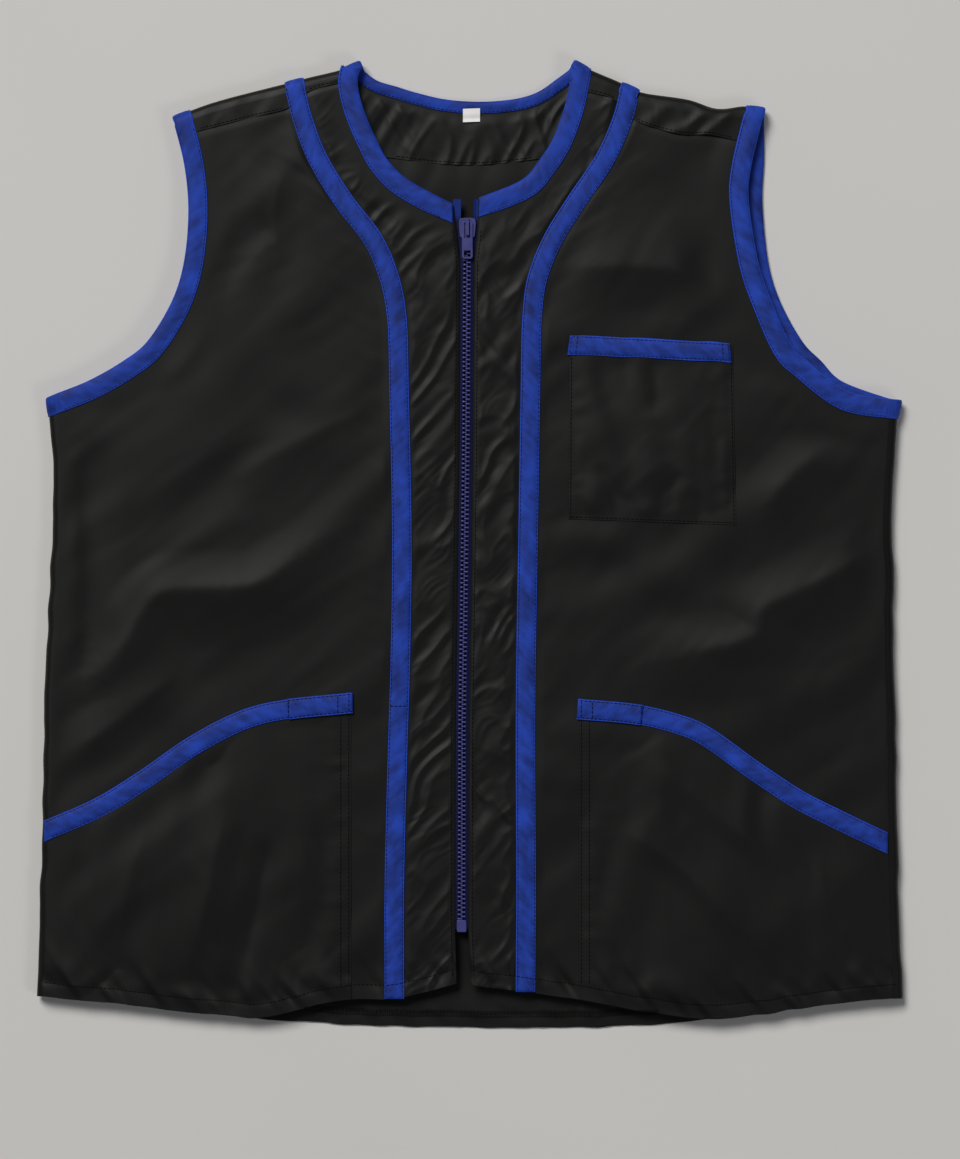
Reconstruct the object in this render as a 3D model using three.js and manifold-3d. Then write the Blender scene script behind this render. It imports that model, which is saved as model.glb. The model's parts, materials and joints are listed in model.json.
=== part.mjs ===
import * as THREE from 'three';
import { mergeVertices } from 'three/addons/utils/BufferGeometryUtils.js';
import Module from 'manifold-3d';

// Zip-front work vest, lying flat on its back with the front up.
// Millimetres, +Z up, +Y from hem to neck. Sides are the wearer's: right at -X, left at +X.

// Cloth and tape
const CLOTH = 1.0;
const GAP = 0.3;
const SEAM_GAP = 0.7;
const LAYER = CLOTH + GAP;
const TAPE_WIDTH = 13;
const STRIPE_HALF = TAPE_WIDTH / 2;

// Heights of the middle of the cloth: the front, and the back where it rests or is lifted by its tape
const FRONT_Z = 10.8;
const BACK_Z = CLOTH / 2;
const BACK_LIFT = LAYER;

// Binding: tape folded round a cloth edge
const BINDING_WALL = 1.0;
const BINDING_SLOT = CLOTH / 2 + GAP;
const BINDING_OUTSIDE = BINDING_SLOT + BINDING_WALL;
const EDGE_INSET = BINDING_WALL + 0.5;
const NECK_INNER_LEG = 8;
const ARMHOLE_INNER_LEG = 12;

// Side seams: on the right the seam is at the fold, on the left the back wraps over it
const UNDERARM_Y = { right: 97, left: 95.5 };
const SEAM_FROM_FOLD = { right: 0, left: 6.5 };

// Widths over which folds and the lift of the back fade
const LIFT_FULL = 45;
const LIFT_NONE = 90;
const YOKE_LIFT_START = 200;
const YOKE_LIFT_END = 238;
const CALM_BY_EDGE = 30;
const CALM_BY_STRIPE = 8;
const CALM_BY_ZIP = 12;
const CALM_FADE = 26;

// Yoke seam across the back: lowest at the middle, rising to the armholes
const YOKE_SEAM_LOW = 250;
const YOKE_SEAM_RISE = 8;
const YOKE_SEAM_SPREAD = 55;

// Zip
const ZIP_MIDDLE_Z = FRONT_Z - LAYER;
const TEETH_THICK = 2.6;
const TEETH_INNER = 0.15;
const TEETH_OUTER = 3.0;
const ZIP_TAPE_INNER = 3.4;
const ZIP_TAPE_OUTER = 13.5;
const ZIP_BOTTOM = -256;
const ZIP_TOP = 227;
const TEETH_TOP = 213;
const BOX_TOP = -246;
const BOX_BOTTOM = -253.9;
const BOX_HALF = 3.1;
const BOX_THICK = 3.2;
const BOX_CORNER = 0.7;
const SLIDER_BOTTOM = 201.4;
const SLIDER_TOP = 214.6;
const SLIDER_HALF_LOW = 4.8;
const SLIDER_HALF_HIGH = 5.6;
const SLIDER_CHANNEL = 3.2;
const SLIDER_PLATE = 1.0;
const SLIDER_FLANGE = 0.7;
const SLIDER_FLANGE_TOP = 207;
const SLIDER_CORNER = 1.2;
const SLIDER_SHOULDER = 3.6;
const WEDGE_BOTTOM = 209.4;
const WEDGE_HALF = 0.9;
const WEDGE_TAIL = 1.4;
const BRIDGE_HALF = 1.1;
const BRIDGE_BOTTOM = 203;
const BRIDGE_TOP = 214.4;
const BRIDGE_WALL = 1.2;
const BRIDGE_CLEAR = 1.8;
const PULL_THICK = 1.2;
const PULL_HALF = 3.5;
const PULL_PIVOT_Y = 211.7;
const PULL_BAR_HALF = 0.55;
const PULL_SLOT_HALF = 2.0;
const PULL_SLOT_END = 201.2;
const PULL_END = 187.7;
const PULL_WINDOW = { low: 189, high: 193.1, half: 2.2 };
const PULL_CORNER = 1.2;

const SIDES = ['right', 'left'];
const SIGN = { right: -1, left: 1 };

const named = (columns, row) => Object.fromEntries(columns.map((name, i) => [name, row[i]]));
const rows = (columns, ...data) => data.map((row) => named(columns, row));

// Outline of each side fold, and the line of the seam under each stripe
const SIDE_FOLD = rows(
  ['y', 'right', 'left'],
  [-297, -284, 284.7], [-206, -280.8, 281.5], [-128, -279.2, 280.4], [-65, -277.2, 278.8],
  [-20, -275, 278.5], [30, -272.6, 277.6], [60, -273.5, 279.2], [96, -276.9, 283],
);
const STRIPE = rows(
  ['y', 'right', 'left'],
  [-297, -49, 37], [-220, -48.9, 37.4], [-128, -46.6, 37], [-75, -45, 37.4], [3, -44, 38.7],
  [108, -46, 40.4], [148, -47.2, 41.3], [174, -51.9, 44.6], [200, -62.7, 54.8], [226, -82.4, 70.9],
  [253, -98.9, 89], [279, -109, 100.5], [305, -115.4, 107.2],
);

// Zip line and the two front edges beside it
const FRONT_EDGE = rows(
  ['y', 'zip', 'right', 'left'],
  [-290, -4.9, -8.2, 1.2], [-254, -4.9, -9.2, -0.4], [-120, -4.6, -9.1, -0.1],
  [-36, -3.3, -7.8, 1.2], [69, -2, -6.5, 2.5], [186, -1.3, -5.8, 3.2], [200, -1.2, -7.4, 5],
  [214, -1.1, -9, 6], [226, -1, -10.6, 6.3],
);

// How far the two rows of teeth stand apart in the slider
const TEETH_SPREAD = rows(['y', 'apart'], [-256, 0], [203.5, 0], [212, 1.4], [227, 1.4]);

// Free edge of each armhole, from the side fold up to the shoulder fold
const ARMHOLE_FRONT = rows(
  ['xRight', 'yRight', 'xLeft', 'yLeft'],
  [-272.4, 97.3, 278.5, 95.8], [-249.3, 108.2, 248.6, 100.9], [-226.3, 121.4, 222, 120.7],
  [-210.6, 134.5, 211, 132], [-194.8, 160.7, 198, 161.4], [-187, 187, 189.6, 187],
  [-184.3, 219.8, 183.7, 226], [-187, 249.3, 185.2, 248], [-193.6, 276, 193.2, 281.5],
);
const ARMHOLE_BACK = rows(
  ['xRight', 'yRight', 'xLeft', 'yLeft'],
  [-272.4, 97.3, 278.5, 95.8], [-247, 109.5, 246, 107.6], [-223, 124, 231.6, 121.4],
  [-207, 139, 219.1, 134.5], [-192.5, 165, 204.7, 160.7], [-185, 190, 196.8, 187],
  [-182.5, 220, 193, 226], [-186, 249.3, 194.2, 255], [-193.6, 276, 194.2, 281.5],
);

// Free edge of the neckline: each front from the zip up to the shoulder, and the back across
const NECK_FRONT = rows(
  ['xRight', 'yRight', 'xLeft', 'yLeft'],
  [-10.8, 224, 6.4, 228], [-39.4, 239.4, 34.1, 239.4], [-53.1, 252.6, 45.9, 252.6],
  [-60.4, 265.7, 54.4, 265.7], [-66.3, 278.8, 59.7, 278.8], [-70.8, 291.9, 63.6, 291.9],
  [-73, 304, 66.3, 305], [-70.8, 312.6, 67.5, 313.3],
);
const NECK_BACK = rows(
  ['x', 'y'],
  [-69.6, 312.7], [-60.4, 305.7], [-47.2, 301.6], [-34.8, 297.8], [-17, 293.6], [2, 291.9],
  [19.7, 292.4], [34.8, 294.6], [46.6, 299], [58, 307], [66.5, 313.3],
);

// Shoulder: points of the fold from armhole to neck, and of the front shoulder seam below them
const SHOULDER = rows(
  ['at', 'foldXRight', 'foldYRight', 'seamXRight', 'seamYRight',
    'foldXLeft', 'foldYLeft', 'seamXLeft', 'seamYLeft'],
  ['armhole', -194.8, 280, -190.2, 268.7, 194.8, 286, 188.2, 263.2],
  ['tape', -181.6, 285.6, -177.8, 271.6, 181.2, 288, 174.5, 265.6],
  ['outer', -166, 291, -162.5, 275.4, 163, 286.4, 157, 269.2],
  ['middle', -145, 296.7, -141.5, 280.8, 143, 292.5, 138, 269.6],
  ['stripeOut', -122.6, 302.3, -119.4, 286.5, 113.8, 297, 109.6, 278.4],
  ['stripeIn', -107, 306.4, -105, 297.6, 98.4, 304, 95.4, 292],
  ['neckTape', -84, 312, -86, 303, 81, 311.4, 79.4, 297],
  ['neck', -70.8, 317.2, -73, 306, 68.5, 317.9, 65, 299.6],
);

// Lower edges
const HEM_FRONT_RIGHT = rows(
  ['x', 'y'],
  [-284, -296], [-218, -302.4], [-171, -308], [-135, -310], [-102, -302.4], [-73.5, -298],
  [-49, -297.5], [-8, -287.5],
);
const HEM_FRONT_LEFT = rows(
  ['x', 'y'],
  [1, -288.8], [37, -293.4], [69.5, -298], [101.7, -304.1], [130, -308], [157, -311], [193, -308],
  [240, -301], [284.7, -297],
);
const HEM_BACK = rows(
  ['x', 'y'],
  [-284, -296.2], [-218, -303], [-152, -311], [-102, -314.6], [-50, -317], [60, -317.8],
  [100, -317], [150, -313.5], [222, -303], [284.7, -297.2],
);

// Folds of the front, each a long ridge (or a valley where the height is below zero) along its angle
const FOLDS = rows(
  ['x', 'y', 'angle', 'halfLength', 'halfWidth', 'height'],
  [-176, -20, 34, 115, 27, 3], [-220, -64, 45, 60, 24, -2.4], [-241, -118, 38, 46, 22, 2.2],
  [-111, 65, 29, 50, 24, 1.8], [-152, 160, 52, 36, 18, -1.8], [-172, 166, 52, 34, 16, 1.6],
  [-250, -3, 88, 100, 24, -2.2], [-142, 236, 80, 34, 17, 1.8], [184, -34, 26, 95, 27, 2.8],
  [194, -60, 26, 55, 22, -2.2], [222, 52, 31, 55, 21, 2], [119, 178, -3, 70, 20, 1.8],
);
const POCKET_FOLDS = rows(
  ['x', 'y', 'angle', 'halfLength', 'halfWidth', 'height'],
  [-170, -240, 80, 55, 22, 1.6], [-222, -236, 70, 50, 24, 1.4], [-112, -215, 86, 60, 22, 1.2],
  [196, -236, 96, 55, 24, 1.5], [142, -220, 84, 60, 24, 1.3], [240, -240, 100, 40, 20, 1.2],
);

// Mouths of the lower pockets, from the side to the inner end, and their inner edges
const POCKET_MOUTH_RIGHT = rows(
  ['x', 'y'],
  [-281, -181.6], [-244.4, -165.5], [-214.5, -146.9], [-184.3, -126], [-152.3, -109.4],
  [-127, -102.3], [-78, -97],
);
const POCKET_MOUTH_LEFT = rows(
  ['x', 'y'],
  [72, -101], [113.5, -105], [145, -113.2], [161, -121.2], [189.6, -141.7], [218.4, -160.7],
  [237.5, -170.6], [278, -190],
);
const POCKET_INNER = { right: -77.5, left: 72.4 };
const POCKET_OUTER_FROM_FOLD = { right: 5.4, left: 7.4 };
const POCKET_SIDE_Y = -180;
const POCKET_SLACK = 1.4;
const POCKET_MOUTH_FLAT = 17;
const TAB_LENGTH = 42;
const TAB_WIDTH = 15;

// Chest pocket corners, and the tape across its mouth
const CHEST_POCKET = {
  topRight: [66, 136], topLeft: [173, 130.8], lowLeft: [175.2, 13.1], lowRight: [65.3, 17.1],
};
const CHEST_TAPE = {
  topRight: [66.3, 138.2], topLeft: [170.9, 132.5], lowLeft: [172.1, 120], lowRight: [64.4, 124.6],
};
const CHEST_SLACK = 1.2;

// Size label at the back of the neck
const LABEL = { x: 1.6, top: 287, length: 8.8, width: 11.2, tilt: 2, bendAt: 0.45 };

const COLOURS = {
  cloth: { color: 0x1d1d1c, roughness: 0.5, metalness: 0 },
  tape: { color: 0x2440a8, roughness: 0.55, metalness: 0 },
  zipTape: { color: 0x1a1f4a, roughness: 0.8, metalness: 0 },
  zip: { color: 0x3a3a96, roughness: 0.35, metalness: 0 },
  label: { color: 0xf0f0ee, roughness: 0.7, metalness: 0 },
};

// Small tools

const { lerp, smoothstep, degToRad, clamp } = THREE.MathUtils;
const list = (count, make) => Array.from({ length: count }, (_, i) => make(i));
const steps = (count) => list(count + 1, (i) => i / count);
const vec = (x, y, z) => new THREE.Vector3(x, y, z);
const UP = vec(0, 0, 1);

function profile(table, from, to, linear = false) {
  const Kind = linear ? THREE.LinearInterpolant : THREE.CubicInterpolant;
  const curve = new Kind(table.map((row) => row[from]), table.map((row) => row[to]), 1, new Array(1));
  return (value) => curve.evaluate(clamp(value, table[0][from], table.at(-1)[from]))[0];
}

function outline(table, x, y) {
  return new THREE.SplineCurve(table.map((row) => new THREE.Vector2(row[x], row[y])));
}

// Point of an outline, moved sideways into the cloth; side is +1 to the right of the direction of travel
function beside(curve, t, side, distance) {
  const point = curve.getPoint(t);
  const along = curve.getTangent(t);
  return new THREE.Vector2(point.x + along.y * side * distance, point.y - along.x * side * distance);
}

function whereY(curve, y) {
  let low = 0;
  let high = 1;
  for (let i = 0; i < 40; i += 1) {
    const middle = (low + high) / 2;
    if (curve.getPoint(middle).y < y) low = middle;
    else high = middle;
  }
  return low;
}

const cap = (name) => name[0].toUpperCase() + name.slice(1);
const bySide = (make) => Object.fromEntries(SIDES.map((side) => [side, make(side)]));

// Lines of the vest
const foldX = bySide((side) => profile(SIDE_FOLD, 'y', side));
const stripeX = bySide((side) => profile(STRIPE, 'y', side));
const frontEdgeX = bySide((side) => profile(FRONT_EDGE, 'y', side, true));
const zipX = profile(FRONT_EDGE, 'y', 'zip', true);
const teethApart = profile(TEETH_SPREAD, 'y', 'apart', true);
const hemFrontY = { right: profile(HEM_FRONT_RIGHT, 'x', 'y'), left: profile(HEM_FRONT_LEFT, 'x', 'y') };
const hemBackY = profile(HEM_BACK, 'x', 'y');
const mouthY = { right: profile(POCKET_MOUTH_RIGHT, 'x', 'y'), left: profile(POCKET_MOUTH_LEFT, 'x', 'y') };
const armholeFront = bySide((side) => outline(ARMHOLE_FRONT, `x${cap(side)}`, `y${cap(side)}`));
const armholeBack = bySide((side) => outline(ARMHOLE_BACK, `x${cap(side)}`, `y${cap(side)}`));
const neckFront = bySide((side) => outline(NECK_FRONT, `x${cap(side)}`, `y${cap(side)}`));
const neckBack = outline(NECK_BACK, 'x', 'y');
const seamRows = bySide((side) => {
  const points = SHOULDER.map((row) => ({ x: row[`seamX${cap(side)}`], y: row[`seamY${cap(side)}`] }));
  return points.sort((a, b) => a.x - b.x);
});
const shoulderSeamY = bySide((side) => profile(seamRows[side], 'x', 'y', true));
const yokeSeamY = (x) => YOKE_SEAM_LOW + YOKE_SEAM_RISE * (1 - Math.exp(-((x / YOKE_SEAM_SPREAD) ** 2)));

// Which side of the direction of travel the cloth lies on, going up an armhole or a neckline
const ARMHOLE_CLOTH = { right: 1, left: -1 };
const NECK_CLOTH = { right: -1, left: 1 };

// Heights of the cloth

const OUTLINE_SAMPLES = 48;
const samples = (curve) => curve.getPoints(OUTLINE_SAMPLES);
const frontEdges = SIDES.flatMap((side) => [...samples(armholeFront[side]), ...samples(neckFront[side])]);
const backEdges = SIDES.flatMap((side) => samples(armholeBack[side]));
const nearest = (points, x, y) => Math.min(...points.map((p) => Math.hypot(p.x - x, p.y - y)));

function backHeight(x, y) {
  const byArmhole = 1 - smoothstep(nearest(backEdges, x, y), LIFT_FULL, LIFT_NONE);
  const byYoke = smoothstep(y, YOKE_LIFT_START, YOKE_LIFT_END);
  return BACK_Z + BACK_LIFT * Math.max(byArmhole, byYoke);
}

const hump = (t) => (Math.abs(t) < 1 ? Math.cos((Math.PI / 2) * t) ** 2 : 0);

function foldHeight(table, x, y) {
  return table.reduce((sum, fold) => {
    const angle = degToRad(fold.angle);
    const along = (x - fold.x) * Math.cos(angle) + (y - fold.y) * Math.sin(angle);
    const across = (y - fold.y) * Math.cos(angle) - (x - fold.x) * Math.sin(angle);
    return sum + fold.height * hump(along / fold.halfLength) * hump(across / fold.halfWidth);
  }, 0);
}

// Half of the height between back and front beside a side fold
const foldRadius = (side, y) => (FRONT_Z - backHeight(foldX[side](y), y)) / 2;

function frontHeight(x, y) {
  const side = x < zipX(y) ? 'right' : 'left';
  const fromFold = Math.abs(foldX[side](y) - x);
  const calm = (distance, full) => smoothstep(distance, full, full + CALM_FADE);
  const loose = calm(nearest(frontEdges, x, y), CALM_BY_EDGE)
    * calm(Math.abs(x - stripeX[side](y)), CALM_BY_STRIPE)
    * calm(Math.abs(x - zipX(y)), CALM_BY_ZIP)
    * calm(fromFold, CALM_BY_STRIPE);
  const radius = foldRadius(side, y);
  const drop = fromFold < radius ? radius - Math.sqrt(radius ** 2 - (radius - fromFold) ** 2) : 0;
  return FRONT_Z - drop + loose * foldHeight(FOLDS, x, y);
}

const onFront = (x, y, above = 0) => vec(x, y, frontHeight(x, y) + above);
const onBack = (x, y) => vec(x, y, backHeight(x, y));

// Solids from lattices and sections

function solid(positions, triangles) {
  const corner = triangles.map((face) => face.map((i) => positions[i]));
  const volume = corner.reduce((sum, [a, b, c]) => sum + a.dot(vec().crossVectors(b, c)), 0);
  const faces = volume > 0 ? triangles : triangles.map(([a, b, c]) => [a, c, b]);
  const geometry = new THREE.BufferGeometry();
  const numbers = positions.flatMap((p) => p.toArray());
  geometry.setAttribute('position', new THREE.Float32BufferAttribute(numbers, 3));
  geometry.setIndex(faces.flat());
  geometry.computeVertexNormals();
  return geometry;
}

// Closed sheet of even thickness about a lattice of points; exists(row, column) leaves cells out
function sheet(lattice, thickness = CLOTH, exists = () => true) {
  const last = { row: lattice.length - 2, column: lattice[0].length - 2 };
  const has = (r, c) => r >= 0 && c >= 0 && r <= last.row && c <= last.column && exists(r, c);
  const every = lattice.slice(1).flatMap((_, r) => lattice[0].slice(1).map((__, c) => [r, c]));
  const cells = every.filter(([r, c]) => has(r, c));
  const normals = lattice.map((row) => row.map(() => vec()));
  for (const [r, c] of cells) {
    const ring = [[r, c], [r, c + 1], [r + 1, c + 1], [r + 1, c]];
    const [a, b, d, e] = ring.map(([i, j]) => lattice[i][j]);
    const face = vec().crossVectors(d.clone().sub(a), e.clone().sub(b)).normalize();
    ring.forEach(([i, j]) => normals[i][j].add(face));
  }
  const positions = [];
  const number = new Map();
  const vertex = (r, c, face) => {
    const key = `${r} ${c} ${face}`;
    if (!number.has(key)) {
      number.set(key, positions.length);
      const normal = normals[r][c].clone().normalize();
      positions.push(lattice[r][c].clone().addScaledVector(normal, (face * thickness) / 2));
    }
    return number.get(key);
  };
  const triangles = [];
  for (const [r, c] of cells) {
    const ring = [[r, c], [r, c + 1], [r + 1, c + 1], [r + 1, c]];
    const [a, b, d, e] = ring.map(([i, j]) => vertex(i, j, 1));
    const [f, g, h, k] = ring.map(([i, j]) => vertex(i, j, -1));
    triangles.push([a, b, d], [a, d, e], [f, h, g], [f, k, h]);
    const beyond = [[r - 1, c], [r, c + 1], [r + 1, c], [r, c - 1]];
    const top = [a, b, d, e];
    const low = [f, g, h, k];
    beyond.forEach(([i, j], edge) => {
      if (has(i, j)) return;
      const next = (edge + 1) % 4;
      triangles.push([low[edge], low[next], top[next]], [low[edge], top[next], top[edge]]);
    });
  }
  return solid(positions, triangles);
}

// Tape folded round an edge: a U-shaped section carried along the stations
function binding(stations, innerLeg, closed) {
  const section = [
    [TAPE_WIDTH, BINDING_OUTSIDE], [0, BINDING_OUTSIDE], [0, -BINDING_OUTSIDE], [innerLeg, -BINDING_OUTSIDE],
    [innerLeg, -BINDING_SLOT], [BINDING_WALL, -BINDING_SLOT], [BINDING_WALL, BINDING_SLOT],
    [TAPE_WIDTH, BINDING_SLOT],
  ];
  const size = section.length;
  const positions = stations.flatMap(({ point, inward, normal }) => section.map(
    ([across, out]) => point.clone().addScaledVector(inward, across).addScaledVector(normal, out),
  ));
  const triangles = [];
  const spans = closed ? stations.length : stations.length - 1;
  for (let s = 0; s < spans; s += 1) {
    const next = (s + 1) % stations.length;
    for (let k = 0; k < size; k += 1) {
      const [a, b] = [s * size + k, s * size + ((k + 1) % size)];
      const [c, d] = [next * size + k, next * size + ((k + 1) % size)];
      triangles.push([a, b, d], [a, d, c]);
    }
  }
  if (!closed) {
    const walls = [[0, 1, 6, 7], [1, 2, 5, 6], [2, 3, 4, 5]];
    const end = (stations.length - 1) * size;
    for (const [a, b, c, d] of walls) {
      triangles.push([a, c, b], [a, d, c], [end + a, end + b, end + c], [end + a, end + c, end + d]);
    }
  }
  return solid(positions, triangles);
}

// Station on flat cloth: the front faces up, the back faces down
function flatStation(curve, t, cloth, height, face) {
  const point = curve.getPoint(t);
  const side = beside(curve, t, cloth, 1).sub(point);
  const normal = UP.clone().multiplyScalar(face);
  return { point: vec(point.x, point.y, height), inward: vec(side.x, side.y, 0), normal };
}

// Point of cloth rolled over a fold: angle 90 is on the front, -90 on the back
function rolled(apex, outward, low, angle, proud = 0) {
  const radius = (FRONT_Z - low) / 2;
  const turn = degToRad(angle);
  const point = vec(apex.x, apex.y, low + radius).addScaledVector(outward, -radius);
  const normal = outward.clone().multiplyScalar(Math.cos(turn)).addScaledVector(UP, Math.sin(turn));
  return { point: point.addScaledVector(normal, radius + proud), normal };
}

const ROLL = [90, 60, 30, 0, -30, -60, -90];
const EDGE_BACK_Z = BACK_Z + BACK_LIFT;

// Shoulder fold in plan: its points, the way it runs towards the neck, and the way it faces
const shoulders = bySide((side) => SHOULDER.map((row, i) => {
  const at = (r) => vec(r[`foldX${cap(side)}`], r[`foldY${cap(side)}`], 0);
  const next = SHOULDER[Math.min(i + 1, SHOULDER.length - 1)];
  const before = SHOULDER[Math.max(i - 1, 0)];
  const along = at(next).sub(at(before)).normalize();
  const outward = vec(along.y, -along.x, 0).multiplyScalar(SIGN[side]);
  const seam = vec(row[`seamX${cap(side)}`], row[`seamY${cap(side)}`], 0);
  return { fold: at(row), seam, along, outward };
}));
const shoulderAt = (side, name) => shoulders[side][SHOULDER.findIndex((row) => row.at === name)];

// Rows of the front panels: side or armhole outside, front edge or neckline inside, the stripe between
const LOWER_ROWS = 11;
const CHEST_ROWS = 5;
const UPPER_ROWS = 6;
const STRIPE_AT_UNDERARM = 78;
const STRIPE_AT_NECK = 190;
const STRIPE_AT_SEAM = 289;
const HEM_BEND_POWER = 3;
const SEAM_BEND_POWER = 8;
const lowerRows = steps(LOWER_ROWS).slice(0, -1);
const chestRows = steps(CHEST_ROWS).slice(0, -1);
const upperRows = steps(UPPER_ROWS);
const ARMHOLE_ROWS = CHEST_ROWS + UPPER_ROWS;
const armholeRows = steps(ARMHOLE_ROWS);
const armholeFrontTop = bySide((side) => whereY(armholeFront[side], shoulderAt(side, 'armhole').seam.y));
const neckFrontTop = bySide((side) => whereY(neckFront[side], shoulderAt(side, 'neck').seam.y));

// The seam of a side panel runs on straight under the stripe, below the yoke's edge there
function sideSeamY(side, x) {
  const [a, b] = ['middle', 'stripeOut'].map((name) => shoulderAt(side, name).seam);
  const straight = lerp(a.y, b.y, (x - a.x) / (b.x - a.x));
  return (x - b.x) * SIGN[side] < 0 ? straight : shoulderSeamY[side](x);
}

function stripeRowHeights(side, seamY) {
  const hem = hemFrontY[side](stripeX[side](STRIPE[0].y));
  const top = seamY(stripeX[side](STRIPE_AT_SEAM)) - SEAM_GAP;
  return [
    ...lowerRows.map((t) => lerp(hem, STRIPE_AT_UNDERARM, t)),
    ...chestRows.map((t) => lerp(STRIPE_AT_UNDERARM, STRIPE_AT_NECK, t)),
    ...upperRows.map((t) => lerp(STRIPE_AT_NECK, top, t)),
  ];
}

// Row of a panel between two ends, bent to the hem below and to the shoulder seam above
function panelRow(side, seam, from, to, up, shares) {
  const hem = hemFrontY[side];
  return shares.map((share) => {
    const x = lerp(from.x, to.x, share);
    const straight = lerp(from.y, to.y, share);
    const hemBend = hem(x) - lerp(hem(from.x), hem(to.x), share);
    const seamBend = seam(x) - lerp(seam(from.x), seam(to.x), share);
    return onFront(x, straight + hemBend * (1 - up) ** HEM_BEND_POWER + seamBend * up ** SEAM_BEND_POWER);
  });
}

const SIDE_COLUMNS = 10;

function frontSide(side) {
  const inwards = -SIGN[side];
  const seam = (x) => sideSeamY(side, x);
  const stripe = stripeRowHeights(side, seam).map(
    (y) => new THREE.Vector2(stripeX[side](y) - (inwards * GAP) / 2, y),
  );
  const corner = UNDERARM_Y[side] - EDGE_INSET;
  const start = SEAM_FROM_FOLD[side] > 0 ? SEAM_FROM_FOLD[side] + GAP : 0;
  const rollAngles = start > 0 ? [] : [0, 30, 60];
  const rollEnd = (y) => Math.max(start, foldRadius(side, y));
  const hemY = hemFrontY[side](foldX[side](SIDE_FOLD[0].y));
  const lattice = stripe.map((inner, r) => {
    const up = r / (stripe.length - 1);
    if (r <= LOWER_ROWS) {
      const y = lerp(hemY, corner, r / LOWER_ROWS);
      const outer = new THREE.Vector2(foldX[side](y) + inwards * rollEnd(y), y);
      const radius = foldRadius(side, y);
      const roll = rollAngles.map((angle) => onFront(
        foldX[side](y) + inwards * radius * (1 - Math.cos(degToRad(angle))), y,
      ));
      return [...roll, ...panelRow(side, seam, outer, inner, up, steps(SIDE_COLUMNS))];
    }
    const t = armholeFrontTop[side] * armholeRows[r - LOWER_ROWS];
    const outer = beside(armholeFront[side], t, ARMHOLE_CLOTH[side], EDGE_INSET);
    if (r === stripe.length - 1) outer.y = seam(outer.x) - SEAM_GAP;
    const row = panelRow(side, seam, outer, inner, up, steps(SIDE_COLUMNS));
    return [...rollAngles.map(() => row[0]), ...row];
  });
  return sheet(lattice, CLOTH, (r, c) => r < LOWER_ROWS || c >= rollAngles.length);
}

const CENTRE_COLUMNS = 4;

function frontCentre(side) {
  const inwards = -SIGN[side];
  const neckStart = neckFront[side].getPoint(0).y - EDGE_INSET;
  const edgeRows = LOWER_ROWS + CHEST_ROWS;
  const seam = shoulderSeamY[side];
  const stripe = stripeRowHeights(side, seam).map(
    (y) => new THREE.Vector2(stripeX[side](y) + (inwards * GAP) / 2, y),
  );
  const hemY = hemFrontY[side](frontEdgeX[side](FRONT_EDGE[0].y));
  const lattice = stripe.map((outer, r) => {
    const up = r / (stripe.length - 1);
    let inner;
    if (r <= edgeRows) {
      const y = lerp(hemY, neckStart, r / edgeRows);
      inner = new THREE.Vector2(frontEdgeX[side](y), y);
    } else {
      const t = neckFrontTop[side] * upperRows[r - edgeRows];
      inner = beside(neckFront[side], t, NECK_CLOTH[side], EDGE_INSET);
      if (r === stripe.length - 1) inner.y = seam(inner.x) - SEAM_GAP;
    }
    return panelRow(side, seam, outer, inner, up, steps(CENTRE_COLUMNS));
  });
  return sheet(lattice);
}

// Back panel: flat columns between the two sides, and columns rolled round each side fold below the underarm
const BACK_ROWS = 10;
const BACK_UPPER_ROWS = 8;
const BACK_COLUMNS = 14;
const BACK_ROLL = { right: [-4, -30, -60], left: [90, 60, 30, 0, -30, -60] };
const armholeBackSeam = bySide((side) => {
  const curve = armholeBack[side];
  return whereY(curve, yokeSeamY(curve.getPoint(1).x));
});

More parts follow.
